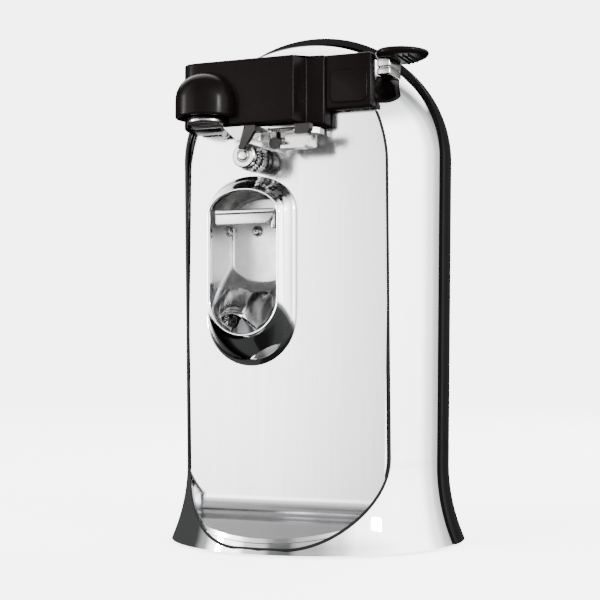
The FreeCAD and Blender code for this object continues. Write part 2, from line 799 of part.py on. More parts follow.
wheel_nut = cone("wheel_nut", 2.9, 2.2, 1.6, (drive_x, dim("wheel_front") + 1.5, drive_z))

# ------------------------------------------------------------------------------- motor

motor_x, motor_z = motor_centre
stator_front, stator_depth = dim("stator_front"), dim("stator_depth")
stator_back = stator_front + stator_depth
stator_core = cut(
    "stator_core",
    box("stator_stack", (motor_x - 26, motor_x + 26), (stator_front, stator_back),
        (motor_z - 36, motor_z + 20)),
    rod("stator_bore_tool", dim("stator_bore"), 60, (motor_x, 50, motor_z)),
    box("stator_window", (motor_x - 15, motor_x + 15), (0, 50), (motor_z - 27, motor_z - 17)),
    rod("stator_hole_left", 1.8, 60, (motor_x - 21, 50, motor_z + 14)),
    rod("stator_hole_right", 1.8, 60, (motor_x + 21, 50, motor_z + 14)),
)
motor_coil = cut(
    "motor_coil",
    box("coil_block", (motor_x - 14.6, motor_x + 14.6), (stator_front - 4.5, stator_back + 4.5),
        (motor_z - 41, motor_z - 18)),
    box("coil_core", (motor_x - 30, motor_x + 30), (stator_front, stator_back),
        (motor_z - 36, motor_z - 27)),
)
rotor_shaft = rod("rotor_shaft", dim("rotor_shaft_radius"), 46, (motor_x, 46.5, motor_z))
pinion_neck = rod("pinion_neck", 1.6, 5.5, (motor_x, 0.5, motor_z))
rotor_shaft = fuse("rotor_shaft_turned", rotor_shaft, pinion_neck)
rotor_shaft.Label = "rotor_shaft"
rotor_bore = rod("rotor_bore", dim("rotor_shaft_radius"), 60, (motor_x, 50, motor_z))
rotor_core = cut(
    "rotor_core",
    fuse("rotor_body",
         rod("rotor_stack", dim("rotor_radius"), stator_depth,
             (motor_x, stator_back, motor_z)),
         rod("rotor_rings", 10.5, stator_depth + 3, (motor_x, stator_back + 1.5, motor_z))),
    rotor_bore,
)
bearing_bore = rod("bearing_bore", dim("rotor_shaft_radius") + gap, 60,
                   (motor_x, 50, motor_z))
motor_bearings = cut(
    "motor_bearings",
    fuse("bearing_pair",
         rod("bearing_front", 5.0, plate, (motor_x, rear_plate_face + plate, motor_z)),
         rod("bearing_rear", 5.0, 3.0, (motor_x, 36, motor_z))),
    bearing_bore,
)
BRIDGE_FACE = 33.0
motor_bridge = cut(
    "motor_bridge",
    box("bridge_bar", (motor_x - 25, motor_x + 25), (BRIDGE_FACE, BRIDGE_FACE + 2.5),
        (motor_z - 8, motor_z + 19)),
    rod("bridge_bearing_hole", 5.0, 60, (motor_x, 60, motor_z)),
    rod("bridge_hole_left", 1.8, 60, (motor_x - 21, 60, motor_z + 14)),
    rod("bridge_hole_right", 1.8, 60, (motor_x + 21, 60, motor_z + 14)),
)
motor_screws = fuse("motor_screws", *[
    fuse(f"motor_screw_{number}",
         rod(f"motor_screw_shank_{number}", 1.75, 33, (x, BRIDGE_FACE + 2.5, motor_z + 14)),
         rod(f"motor_screw_head_{number}", 3.2, 2, (x, BRIDGE_FACE + 4.5, motor_z + 14)))
    for number, x in enumerate([motor_x - 21, motor_x + 21])
])
FAN_BLADES = 7
fan_body = doc.addObject("PartDesign::Body", "fan_body")
fan_disc = draw_circles(fan_body, "fan_disc", 5.0, dim("rotor_shaft_radius"))
pad(fan_body, "fan_disc_pad", fan_disc, 3.4)
fan_blade = draw(fan_body, "fan_blade", "XY_Plane", [
    (4.0, -1.2), (12.5, 0.4), (12.5, 1.6), (4.0, 0.2),
])
fan_blade_pad = pad(fan_body, "fan_blade_pad", fan_blade, 3.0)
fan_pattern = fan_body.newObject("PartDesign::PolarPattern", "fan_pattern")
fan_pattern.Originals = [fan_blade_pad]
fan_pattern.Axis = (fan_disc, ["N_Axis"])
fan_pattern.Angle = 360
fan_pattern.Occurrences = FAN_BLADES
fan_body.Tip = fan_pattern
cooling_fan = place(fan_body, (motor_x, 40.6, motor_z), FRONT)
cooling_fan.Label = "cooling_fan"
grinding_wheel = cut(
    "grinding_wheel",
    rod("grinding_disc", 14.0, 4.6, (motor_x, 46.4, motor_z)),
    rotor_bore,
)

# ------------------------------------------------- knife sharpener guide, gland, switch

guide_x = (SHARPENER_X[0] + 0.3, SHARPENER_X[1] - 0.3)
guide_z = (SHARPENER_Z[0] + 0.3, SHARPENER_Z[1] - 0.3)
GUIDE_SLOTS = [(7.2, 12.2), (19.8, 24.8)]
sharpener_guide = cut(
    "sharpener_guide",
    box("guide_block", guide_x, (48.5, 58.0), guide_z),
    *[box(f"guide_slot_{number}", span, (40, 70), (113.5, 133.0))
      for number, span in enumerate(GUIDE_SLOTS)]
)
cord_gland = cut(
    "cord_gland",
    fuse("gland_solid", rod("gland_barrel", 4.95, 9, (0, 67.2, GLAND_Z)),
         rod("gland_collar", 6.4, 3.0, (0, 59.8, GLAND_Z))),
    rod("gland_bore", 3.2, 30, (0, 80, GLAND_Z)),
)
SWITCH_X, SWITCH_Y, SWITCH_Z = (37.0, 47.0), (-30.0, -19.0), (176.0, 190.5)
plunger_x, plunger_y = sum(SWITCH_X) / 2, sum(SWITCH_Y) / 2
PLUNGER_RADIUS = 2.0
switch_body = cut(
    "switch_body",
    box("switch_case", SWITCH_X, SWITCH_Y, SWITCH_Z),
    rod("switch_bore", PLUNGER_RADIUS + 0.08, 9, (plunger_x, plunger_y, SWITCH_Z[1] - 8), UP),
)
switch_plunger = fuse(
    "switch_plunger",
    rod("plunger_stem", PLUNGER_RADIUS, 8.5, (plunger_x, plunger_y, SWITCH_Z[1] - 5.5), UP),
    rod("plunger_cap", 2.8, 1.2, (plunger_x, plunger_y, SWITCH_Z[1] + 2.2), UP),
)

# -------------------------------------------------------------------------- lever head

pivot_x, pivot_z = dim("pivot_x"), dim("pivot_z")
head_left, head_right, step = dim("head_left"), dim("head_right"), dim("head_step")
head_back, head_front, setback = dim("head_back"), dim("head_front"), dim("head_setback")
head_bottom, head_top, head_wall = dim("head_bottom"), dim("head_top"), dim("head_wall")
NOSE = 9.0
LOW_STEP = 7.6
HEAD_SLOPE = 9.5
nose_in = NOSE * (1 - KNEE)


def head_outline(inset, right):
    """The head seen from above, moved in by inset: a front block with a set-back arm."""
    left, front, slope = head_left + inset, head_front + inset, HEAD_SLOPE - inset
    return [
        (left, head_back - inset),
        (left, front + NOSE),
        (left + NOSE, front, left + nose_in, front + nose_in),
        (step - inset, front),
        (step + slope, setback + inset),
        (right, setback + inset),
        (right, head_back - inset),
    ]


head_block = prism("head_block", "XY_Plane", head_outline(0, head_right), head_bottom,
                   head_top)
head_relief = box("head_relief", (step + HEAD_SLOPE, 60), (-60, -30), (180, head_bottom + LOW_STEP))
head_hollow = prism("head_hollow", "XY_Plane", head_outline(head_wall, step + 10),
                    head_bottom - 2, head_top - head_wall - 3.2)
pivot_boss = rod("pivot_boss", 5.0, head_back - head_front - 0.6, (pivot_x, head_back, pivot_z))
pivot_bore = rod("pivot_bore", pin + gap, 17.6, (pivot_x, head_back, pivot_z))
HEAD_FALL = 2.0
head_slope = prism("head_slope", "YZ_Plane", [
    (head_front - 1, head_top - HEAD_FALL), (setback, head_top), (setback, head_top + 5),
    (head_front - 1, head_top + 5),
], -60, 60)
lever_arm = cut(
    "lever_arm_blank",
    fuse("head_solid", cut("head_shell", head_block, head_relief, head_hollow), pivot_boss),
    pivot_bore, head_slope
)
lever_pivot_pin = rod("lever_pivot_pin", pin, box_front - head_back + 17.0,
                      (pivot_x, box_front, pivot_z))

PAD_SKIRT = 2.0


def oval(name, half_width, half_depth, thickness, where):
    """An upright prism on an ellipse that is longer from front to back."""
    piece = doc.addObject("Part::Extrusion", name)
    outline = doc.addObject("Part::Ellipse", name + "_outline")
    bind(outline, "MajorRadius", half_depth)
    bind(outline, "MinorRadius", half_width)
    place(outline, where, Rotation(Vector(0, 0, 1), 90))
    piece.Base = outline
    piece.Dir = Vector(0, 0, 1)
    piece.DirMode = "Custom"
    piece.Solid = True
    bind(piece, "LengthFwd", thickness)
    return piece


pad_x, pad_y, pad_half = dim("pad_x"), dim("pad_y"), dim("pad_half_width")
pad_low = dim("pad_top") - dim("pad_thickness")
thumb_pad = cut(
    "thumb_pad",
    fuse("pad_solid",
         oval("pad_plate", pad_half, dim("pad_half_depth"), dim("pad_thickness"),
              (pad_x, pad_y, pad_low)),
         oval("pad_skirt", 6.0, 9.5, PAD_SKIRT, (pad_x + 5.2, pad_y, pad_low - PAD_SKIRT))),
    box("pad_seat", (0, head_right), (-60, head_back), (180, 240)),
)

# the magnet's dome stands in front of the head; it is hollow below for the magnet cup
magnet_x, magnet_y, magnet_radius = dim("magnet_x"), dim("magnet_y"), dim("magnet_radius")
magnet_low, magnet_high = dim("magnet_low"), dim("magnet_high")
DOME_STRAIGHT = 9.0
dome_rise = magnet_high - magnet_low - DOME_STRAIGHT
dome_full = turned("dome_full", [
    (0, 0),
    (magnet_radius, 0),
    (magnet_radius, DOME_STRAIGHT),
    (0, dome_rise + DOME_STRAIGHT,
     magnet_radius * KNEE, dome_rise * KNEE + DOME_STRAIGHT),
], (magnet_x, magnet_y, magnet_low))
magnet_housing = cut(
    "magnet_housing", dome_full,
    rod("dome_hollow", magnet_radius - 2.4, 7.0, (magnet_x, magnet_y, magnet_low - 1), UP),
    box("dome_back", (-60, 10), (head_front - 0.0, -20), (180, 230)),
)

# steel frame under the head, with the cutter, the can guide and their fixings
FRAME_LOW, FRAME_HIGH = 186.2, 188.9
SCREW_Y = -44.6
lever_frame = cut(
    "lever_frame",
    prism("frame_blank", "XY_Plane", [
        (-13.0, -58.0), (12.0, -58.0), (20.0, -46.0), (20.0, -40.5), (-13.0, -40.5),
    ], FRAME_LOW, FRAME_HIGH),
    rod("frame_hole_left", 1.7, 10, (-8, SCREW_Y, 182), UP),
    rod("frame_hole_right", 1.7, 10, (10, SCREW_Y, 182), UP),
)
frame_bosses = [
    rod(f"frame_boss_{number}", 4.0, head_top - FRAME_HIGH - 4, (x, SCREW_Y, FRAME_HIGH), UP)
    for number, x in enumerate((-8, 10))
]
frame_threads = [
    rod(f"frame_thread_{number}", 1.5, 14, (x, SCREW_Y, FRAME_HIGH - 1), UP)
    for number, x in enumerate((-8, 10))
]
magnet_room = rod("magnet_room", dim("cup_radius") + 2.8, 15, (magnet_x, magnet_y, 184), UP)
arm_room = box("arm_room", (-38, -14), (-63, -56.5), (184, 191.6))
lever_arm = cut("lever_arm_drilled", fuse("lever_arm_bossed", lever_arm, *frame_bosses),
                *frame_threads, magnet_room, arm_room)
frame_screws = fuse("frame_screws", *[
    fuse(f"frame_screw_{number}",
         rod(f"frame_screw_head_{number}", 2.9, 1.6, (x, SCREW_Y, FRAME_LOW - 1.6), UP),
         rod(f"frame_screw_shank_{number}", 1.5, 13, (x, SCREW_Y, FRAME_LOW), UP))
    for number, x in enumerate((-8, 10))
])
blade_back, blade_front = -63.6, -66.0
cutting_blade = fuse(
    "cutting_blade",
    prism("blade_edge", "XZ_Plane", [
        (-11.2, 178.4), (-8.3, 177.9), (-3.0, 186.0), (-3.0, 188.6), (-7.2, 188.6),
    ], blade_back, blade_front),
    prism("blade_tang", "XZ_Plane", [
        (-7.2, 186.4), (-3.0, 186.4), (-3.0, 188.6), (-7.2, 188.6),
    ], -58.0, blade_back),
)
stripper_plate = fuse(
    "stripper_plate",
    prism("stripper_face", "XZ_Plane", [
        (-19.0, 188.6), (-12.4, 182.4), (-10.6, 182.4), (-8.6, 188.6),
    ], -63.6, -64.8),
    box("stripper_foot", (-13.0, -8.6), (-63.6, -58.0), (187.2, 188.6)),
)
guide_bracket = fuse(
    "guide_bracket",
    box("guide_web", (5.0, 16.6), (-51.0, -49.4), (179.0, 186.2)),
    box("guide_lip", (5.0, 16.6), (-56.0, -51.0), (179.0, 180.4)),
    box("guide_tab", (16.6, 20.0), (-50.8, -49.6), (179.2, 185.0)),
)
guide_pin = cone("guide_pin", 1.8, 2.6, 4.6, (2.4, -52.0, 181.4))
guide_pin_post = rod("guide_pin_post", 1.1, 5.2, (2.4, -52.0, 181.0), UP)
can_guide_pin = fuse("can_guide_pin", guide_pin, guide_pin_post)
lever_rod = rod("lever_rod", 1.2, 13.0, (1.0, -59.6, 187.6), RIGHT)
frame_nut = prism("frame_nut", "XZ_Plane", [
    (14.2, 184.2), (20.6, 184.2), (21.8, 186.1), (21.8, 188.6), (14.2, 188.6),
], -58.4, -62.0)

# lid magnet on a thin swinging arm
arm_x, arm_z = dim("arm_pivot_x"), dim("arm_pivot_z")
cup_low_z, cup_r = dim("cup_low"), dim("cup_radius")
magnet_cup = cut(
    "magnet_cup",
    rod("magnet_cup_solid", cup_r, 5.2, (magnet_x, magnet_y, cup_low_z), UP),
    rod("magnet_cup_hollow", cup_r - 1.1, 3.6, (magnet_x, magnet_y, cup_low_z - 0.1), UP),
)
magnet_disc = rod("magnet_disc", cup_r - 1.1, 3.2, (magnet_x, magnet_y, cup_low_z + 0.2), UP)
ARM_BACK, ARM_FRONT = -60.4, -62.0
magnet_arm = cut(
    "magnet_arm",
    prism("arm_strip", "XZ_Plane", [
        (-16.2, 185.6), (-17.0, 187.4), (-21.0, 190.4), (-36.0, 190.4), (-36.0, 189.2),
        (-21.4, 189.2), (-20.4, 185.6), (-18.3, 183.5),
    ], ARM_BACK, ARM_FRONT),
    rod("arm_bore", 1.05, 10, (arm_x, -55, arm_z)),
)
magnet_pin = fuse(
    "magnet_pin",
    rod("magnet_pin_shank", 1.0, 7.0, (arm_x, -57.0, arm_z)),
    rod("magnet_pin_head", 1.9, 0.8, (arm_x, -62.4, arm_z)),
)
pin_lug = box("pin_lug", (-21.0, -13.0), (-60.0, -57.2), (184.0, 188.9))
magnet_lug = cut("magnet_lug", pin_lug, rod("lug_bore", 1.0, 10, (arm_x, -52, arm_z)))

# ------------------------------------------------------------------- check and write out

SUB_PARTS = {
    "body_shell": body_shell,
    "rear_cover": rear_cover,
    "rear_screws": rear_screws,
    "front_panel": front_panel,
    "base_plate": base_plate,
    "base_screws": base_screws,
    "foot_ring": foot_ring,
    "bottle_opener_housing": bottle_opener_housing,
    "bottle_opener_plate": bottle_opener_plate,
    "bottle_opener_screws": bottle_opener_screws,
    "shoulder_cup": shoulder_cup,
    "lever_rest": lever_rest,
    "gear_plate_front": gear_plate_front,
    "gear_plate_rear": gear_plate_rear,
    "gear_plate_pillars": gear_plate_pillars,
    "upper_idler_pin": upper_idler_pin,
    "lower_idler_pin": lower_idler_pin,
    "drive_bush": drive_bush,
    "stator_core": stator_core,
    "motor_coil": motor_coil,
    "motor_bearings": motor_bearings,
    "motor_bridge": motor_bridge,
    "motor_screws": motor_screws,
    "sharpener_guide": sharpener_guide,
    "cord_gland": cord_gland,
    "switch_body": switch_body,
    "lever_pivot_pin": lever_pivot_pin,
    "switch_plunger": switch_plunger,
    "drive_shaft": drive_shaft,
    "drive_wheel": drive_wheel,
    "drive_washer": drive_washer,
    "wheel_nut": wheel_nut,
    "output_gear": output_gear,
    "upper_idler_gear": upper_idler_gear,
    "lower_idler_gear": lower_idler_gear,
    "rotor_core": rotor_core,
    "rotor_shaft": rotor_shaft,
    "motor_pinion": motor_pinion,
    "cooling_fan": cooling_fan,
    "grinding_wheel": grinding_wheel,
    "lever_arm": lever_arm,
    "magnet_housing": magnet_housing,
    "thumb_pad": thumb_pad,
    "lever_frame": lever_frame,
    "frame_screws": frame_screws,
    "cutting_blade": cutting_blade,
    "stripper_plate": stripper_plate,
    "guide_bracket": guide_bracket,
    "can_guide_pin": can_guide_pin,
    "lever_rod": lever_rod,
    "frame_nut": frame_nut,
    "magnet_pin": magnet_pin,
    "magnet_lug": magnet_lug,
    "magnet_arm": magnet_arm,
    "magnet_cup": magnet_cup,
    "magnet_disc": magnet_disc,
}

doc.recompute()
for item in doc.Objects:
    if "Invalid" in item.State or "Error" in item.State:
        raise RuntimeError(f"{item.Name} did not build: {item.State}")
for node, piece in SUB_PARTS.items():
    piece.Label = node
    if piece.Shape.isNull() or not piece.Shape.isValid() or not piece.Shape.Solids:
        raise RuntimeError(f"{node} has no valid solid")
os.makedirs("parts", exist_ok=True)
for node, piece in SUB_PARTS.items():
    piece.Shape.exportStep(f"parts/{node}.step")
    bounds = piece.Shape.BoundBox
    print(f"{node:24s} {piece.Shape.Volume:10.1f} mm3  solids {len(piece.Shape.Solids)}"
          f"  X {bounds.XMin:.1f} {bounds.XMax:.1f}  Y {bounds.YMin:.1f} {bounds.YMax:.1f}"
          f"  Z {bounds.ZMin:.1f} {bounds.ZMax:.1f}")
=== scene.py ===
import json
import math

import bmesh
import bpy
import numpy as np
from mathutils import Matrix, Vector

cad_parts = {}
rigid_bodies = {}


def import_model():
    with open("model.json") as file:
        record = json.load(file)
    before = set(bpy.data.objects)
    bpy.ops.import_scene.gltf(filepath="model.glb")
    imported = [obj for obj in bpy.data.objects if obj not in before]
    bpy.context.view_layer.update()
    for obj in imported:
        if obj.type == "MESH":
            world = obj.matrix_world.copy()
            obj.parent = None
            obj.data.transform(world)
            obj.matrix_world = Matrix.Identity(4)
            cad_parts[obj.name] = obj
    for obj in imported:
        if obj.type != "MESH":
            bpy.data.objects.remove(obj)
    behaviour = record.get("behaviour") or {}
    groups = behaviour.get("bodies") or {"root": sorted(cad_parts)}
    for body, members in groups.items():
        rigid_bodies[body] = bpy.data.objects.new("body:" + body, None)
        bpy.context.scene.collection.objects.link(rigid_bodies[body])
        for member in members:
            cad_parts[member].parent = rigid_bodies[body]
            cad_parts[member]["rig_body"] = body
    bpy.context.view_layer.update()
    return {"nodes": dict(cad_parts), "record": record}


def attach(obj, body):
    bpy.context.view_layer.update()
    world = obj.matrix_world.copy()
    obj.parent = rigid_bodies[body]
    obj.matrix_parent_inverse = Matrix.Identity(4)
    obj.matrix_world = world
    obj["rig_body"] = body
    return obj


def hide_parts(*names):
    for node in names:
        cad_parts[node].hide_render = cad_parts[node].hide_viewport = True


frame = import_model()

# An electric can opener on a pale floor in soft studio light. The CAD frame gives every
# place and size; this script makes the finished skins, the small metalwork and the materials.

MM = 0.001
NODES = frame["nodes"]
ROWS = {row["node"]: row for row in frame["record"]["subparts"]}


# ------------------------------------------------------------------ camera and studio

VIEW_TURN = math.radians(22.0)      # the camera stands to the right of straight ahead
VIEW_DISTANCE = 0.670
EYE_HEIGHT = 0.086
LENS = 83.76
SENSOR = 36.0
PITCH = math.radians(2.38)
YAW = math.radians(0.70)
WHITE = 5.5                         # brightness that the view transform shows as white
REFLECTED = 6.6                     # brightness of the white walls in reflections
FILL = 1.6                          # soft light from all round


def make_camera():
    """The viewpoint: low, a little to the right, with a long lens."""
    data = bpy.data.cameras.new("camera")
    data.sensor_width = SENSOR
    data.lens = LENS
    data.clip_start = 0.01
    camera = bpy.data.objects.new("camera", data)
    camera.location = (
        VIEW_DISTANCE * math.sin(VIEW_TURN), -VIEW_DISTANCE * math.cos(VIEW_TURN), EYE_HEIGHT
    )
    camera.rotation_euler = (math.radians(90) + PITCH, 0, VIEW_TURN + YAW)
    bpy.context.scene.collection.objects.link(camera)
    bpy.context.scene.camera = camera


def area_light(name, place, aim, size, watts, strip=False):
    """A rectangular soft box aimed at a point; a strip only shows in reflections."""
    data = bpy.data.lights.new(name, "AREA")
    data.shape = "RECTANGLE"
    data.size, data.size_y = size
    data.energy = watts
    lamp = bpy.data.objects.new(name, data)
    lamp.location = place
    lamp.rotation_euler = (Vector(aim) - Vector(place)).to_track_quat("-Z", "Y").to_euler()
    lamp.visible_glossy = strip
    lamp.visible_diffuse = not strip
    bpy.context.scene.collection.objects.link(lamp)


class Graph:
    """Short calls for building a node tree."""

    def __init__(self, tree):
        self.tree = tree
        self.tree.nodes.clear()

    def node(self, kind, inputs=None, **settings):
        """A new node with its settings made and its inputs fed."""
        made = self.tree.nodes.new(kind)
        for name, value in settings.items():
            setattr(made, name, value)
        for name, value in (inputs or {}).items():
            self.feed(made.inputs[name], value)
        return made

    def feed(self, socket, value):
        """Link a socket into an input, or set the input to a plain value."""
        if isinstance(value, bpy.types.NodeSocket):
            self.tree.links.new(value, socket)
        else:
            socket.default_value = value

    def math(self, operation, *values):
        """The result of one arithmetic node."""
        made = self.node("ShaderNodeMath", operation=operation)
        for number, value in enumerate(values):
            self.feed(made.inputs[number], value)
        return made.outputs[0]

    def blend(self, kind, first, second):
        """Two colours put together by one of the mix node's rules."""
        return self.node("ShaderNodeMix", {"Factor": 1.0, "A": first, "B": second},
                         data_type="RGBA", blend_type=kind).outputs["Result"]

    def ramp(self, factor, stops):
        """Grey levels at places from 0 to 1, eased between them."""
        made = self.node("ShaderNodeValToRGB", {"Fac": factor})
        made.color_ramp.interpolation = "EASE"
        points = made.color_ramp.elements
        while len(points) < len(stops):
            points.new(0.5)
        for point, (place, shade) in zip(points, stops):
            point.position = place
            point.color = (shade, shade, shade, 1)
        return made.outputs["Color"]


def make_world():
    """White studio walls with dark cards, which only the reflections see."""
    world = bpy.data.worlds.new("studio")
    world.use_nodes = True
    bpy.context.scene.world = world
    graph = Graph(world.node_tree)
    direction = graph.node("ShaderNodeTexCoord").outputs["Generated"]
    turned = graph.node("ShaderNodeVectorRotate", {"Vector": direction, "Angle": -VIEW_TURN},
                        rotation_type="Z_AXIS").outputs[0]
    axes = graph.node("ShaderNodeSeparateXYZ", {"Vector": turned})
    around = graph.math("ARCTAN2", axes.outputs["X"], axes.outputs["Y"])
    turn = graph.math("MULTIPLY_ADD", around, 0.5 / math.pi, 0.5)
    # turn is 0.5 straight ahead of the camera, 0 and 1 behind it, 0.25 left and 0.75 right
    walls = graph.ramp(turn, [
        (0.00, 0.22), (0.085, 0.20), (0.109, 0.24), (0.132, 1.0), (0.25, 1.0), (0.285, 0.10),
        (0.32, 0.012), (0.475, 0.012), (0.50, 0.04), (0.53, 0.012), (0.605, 0.018),
        (0.625, 0.09), (0.655, 0.19), (0.685, 0.44), (0.73, 0.95), (0.80, 1.0), (0.90, 0.9),
        (0.95, 0.45), (1.00, 0.24),
    ])
    height = graph.math("MULTIPLY_ADD", axes.outputs["Z"], 0.5, 0.5)
    low = graph.ramp(height, [
        (0.0, 0.008), (0.32, 0.012), (0.40, 0.08), (0.44, 0.70), (0.46, 0.92), (0.52, 1.0),
        (0.70, 1.0), (0.82, 0.42), (0.92, 0.08), (1.0, 0.04),
    ])
    # a light ceiling beyond the object
    beyond = graph.ramp(turn, [(0.34, 0.0), (0.42, 1.0), (0.58, 1.0), (0.66, 0.0)])
    ceiling = graph.ramp(height, [(0.70, 0.0), (0.75, 0.8), (0.95, 0.6), (1.0, 0.0)])
    above = graph.blend("MULTIPLY", beyond, ceiling)
    wall = graph.blend("MULTIPLY", walls, low)
    # a grey card high behind the camera, to its left
    behind = graph.ramp(turn, [(0.04, 1.0), (0.08, 0.0), (0.16, 0.0), (0.20, 1.0)])
    overhead = graph.ramp(height, [(0.59, 1.0), (0.67, 0.30), (0.85, 0.22), (1.0, 0.3)])
    card = graph.blend("LIGHTEN", behind, overhead)
    shaded = graph.blend("MULTIPLY", wall, card)
    seen = graph.blend("LIGHTEN", shaded, above)
    reflected = graph.node("ShaderNodeBackground", {"Color": seen, "Strength": REFLECTED})
    plain = graph.node("ShaderNodeBackground", {"Color": (1, 1, 1, 1), "Strength": WHITE})
    fill = graph.node("ShaderNodeBackground", {"Color": (1, 1, 1, 1), "Strength": FILL})
    rays = graph.node("ShaderNodeLightPath")
    soft = graph.node("ShaderNodeMixShader", {"Fac": rays.outputs["Is Glossy Ray"]})
    graph.feed(soft.inputs[1], fill.outputs[0])
    graph.feed(soft.inputs[2], reflected.outputs[0])
    both = graph.node("ShaderNodeMixShader", {"Fac": rays.outputs["Is Camera Ray"]})
    graph.feed(both.inputs[1], soft.outputs[0])
    graph.feed(both.inputs[2], plain.outputs[0])
    graph.node("ShaderNodeOutputWorld", {"Surface": both.outputs[0]})


def make_floor():
    """A pale floor that is bright enough to merge with the background."""
    mesh = bpy.data.meshes.new("floor")
    edge = 6.0
    mesh.from_pydata([(-edge, -edge, 0), (edge, -edge, 0), (edge, edge, 0), (-edge, edge, 0)],
                     [], [(0, 1, 2, 3)])
    floor = bpy.data.objects.new("floor", mesh)
    bpy.context.scene.collection.objects.link(floor)
    pale = bpy.data.materials.new("pale_floor")
    pale.use_nodes = True
    graph = Graph(pale.node_tree)
    shader = graph.node("ShaderNodeBsdfPrincipled", {
        "Base Color": (0.93, 0.93, 0.93, 1), "Roughness": 0.7,
        "Emission Color": (1, 1, 1, 1), "Emission Strength": WHITE * 0.72,
    })
    graph.node("ShaderNodeOutputMaterial", {"Surface": shader.outputs[0]})
    mesh.materials.append(pale)
    floor.visible_glossy = False
    floor.visible_diffuse = False


# ------------------------------------------------------------------------- materials

def grain(graph, scale, detail=3.0, stretch=(1, 1, 1), rough=0.55):
    """A noise value in the object's own space, with scale in cells per metre."""
    place = graph.node("ShaderNodeTexCoord").outputs["Object"]
    mapped = graph.node("ShaderNodeMapping", {"Vector": place, "Scale": stretch})
    return graph.node("ShaderNodeTexNoise", {
        "Vector": mapped.outputs[0], "Scale": scale, "Detail": detail, "Roughness": rough,
    }).outputs["Fac"]


def spread(graph, value, low, high):
    """A noise value mapped to a range."""
    return graph.node("ShaderNodeMapRange", {
        "Value": value, "From Min": 0.3, "From Max": 0.7, "To Min": low, "To Max": high,
    }).outputs[0]


RELIEF = 0.00006                    # the height in metres of a full-strength grain


def material(name, colour, roughness, metallic=0.0, bump=0.0, bump_scale=2000.0,
             stretch=(1, 1, 1), wear=0.0, wear_scale=180.0, specular=0.5,
             shade_scale=90.0):
    """A surface whose colour, roughness and relief all vary a little, as real ones do."""
    made = bpy.data.materials.new(name)
    made.use_nodes = True
    graph = Graph(made.node_tree)
    patches = grain(graph, shade_scale, 4.0, stretch)
    fine = grain(graph, bump_scale, 2.0, stretch)
    dark = tuple(channel * (1 - wear) for channel in colour)
    tone = graph.node("ShaderNodeMix", {
        "Factor": spread(graph, patches, 0.0, 1.0), "A": (*dark, 1), "B": (*colour, 1),
    }, data_type="RGBA")
    gloss = grain(graph, wear_scale, 5.0, stretch, 0.65)
    shader = graph.node("ShaderNodeBsdfPrincipled", {
        "Base Color": tone.outputs["Result"],
        "Metallic": metallic,
        "Roughness": spread(graph, gloss, roughness[0], roughness[1]),
        "Specular IOR Level": specular,
    })
    if bump:
        relief = graph.node("ShaderNodeBump", {
            "Height": fine, "Strength": bump, "Distance": RELIEF,
        })
        graph.feed(shader.inputs["Normal"], relief.outputs[0])
    graph.node("ShaderNodeOutputMaterial", {"Surface": shader.outputs[0]})
    return made


def make_materials():
    """A finish for each of the record's material slots, and two that only this script uses."""
    return {
        "chrome": material("chrome", (0.86, 0.87, 0.89), (0.015, 0.05), 1.0,
                           wear=0.03, wear_scale=60.0),
        # the opener cavity's chrome: its darker colour is painted shade in the recess, and it is
        # also rougher
        "cavity_shade_chrome": material("cavity_shade_chrome", (0.72, 0.72, 0.72), (0.26, 0.34), 1.0,
                                  bump=0.1, bump_scale=900.0, wear=0.15, wear_scale=200.0),
        "panel_satin": material("panel_satin", (0.80, 0.80, 0.81), (0.15, 0.20), 1.0,
                                bump=0.12, bump_scale=900.0, stretch=(1, 1, 0.03),
                                wear=0.03, wear_scale=400.0),
        "cover_black": material("cover_black", (0.0035, 0.0032, 0.0035), (0.12, 0.18),
                                bump=0.05, bump_scale=1500.0, wear=0.2, specular=0.06),
        "head_black": material("head_black", (0.0062, 0.0042, 0.0042), (0.22, 0.30),
                               bump=0.08, bump_scale=1500.0, wear=0.25, specular=0.035),
        "base_black": material("base_black", (0.012, 0.012, 0.013), (0.45, 0.6),
                               bump=0.5, bump_scale=2500.0, wear=0.2, specular=0.3),
        "rubber": material("rubber", (0.008, 0.008, 0.008), (0.7, 0.9), bump=0.6,
                           bump_scale=3000.0, wear=0.3, specular=0.2),
        "steel": material("steel", (0.20, 0.195, 0.19), (0.2, 0.34), 1.0, bump=0.3,
                          bump_scale=5000.0, wear=0.25),
        "bright_steel": material("bright_steel", (0.58, 0.57, 0.56), (0.16, 0.28), 1.0,
                                 bump=0.3, bump_scale=4000.0, wear=0.2),
        "zinc_steel": material("zinc_steel", (0.62, 0.63, 0.60), (0.3, 0.45), 1.0,
                               bump=0.4, bump_scale=3000.0, wear=0.2),
        "nylon": material("nylon", (0.70, 0.67, 0.60), (0.4, 0.5), bump=0.3, wear=0.06),
        "acetal": material("acetal", (0.62, 0.62, 0.60), (0.35, 0.45), bump=0.3, wear=0.06),
        "copper_coil": material("copper_coil", (0.55, 0.22, 0.09), (0.25, 0.4), 1.0,
                                bump=0.8, bump_scale=900.0, stretch=(0.1, 1, 1), wear=0.3),
        "bronze": material("bronze", (0.42, 0.32, 0.20), (0.3, 0.5), 1.0, bump=0.5,
                           bump_scale=4000.0, wear=0.25),
        "laminations": material("laminations", (0.25, 0.25, 0.27), (0.35, 0.55), 1.0,
                                bump=0.8, bump_scale=700.0, stretch=(0.05, 3, 0.05),
                                wear=0.35),
        "grit": material("grit", (0.35, 0.33, 0.30), (0.85, 0.98), bump=1.0,
                         bump_scale=2600.0, wear=0.4, shade_scale=1500.0, specular=0.2),
        "magnet": material("magnet", (0.03, 0.03, 0.033), (0.4, 0.6), bump=0.4, wear=0.3,
                           specular=0.3),
        "dark_steel": material("dark_steel", (0.035, 0.033, 0.032), (0.25, 0.4), 1.0,
                               bump=0.4, bump_scale=4000.0, wear=0.4),
        "switch_grey": material("switch_grey", (0.05, 0.05, 0.055), (0.4, 0.55), bump=0.4,
                                wear=0.2, specular=0.3),
    }


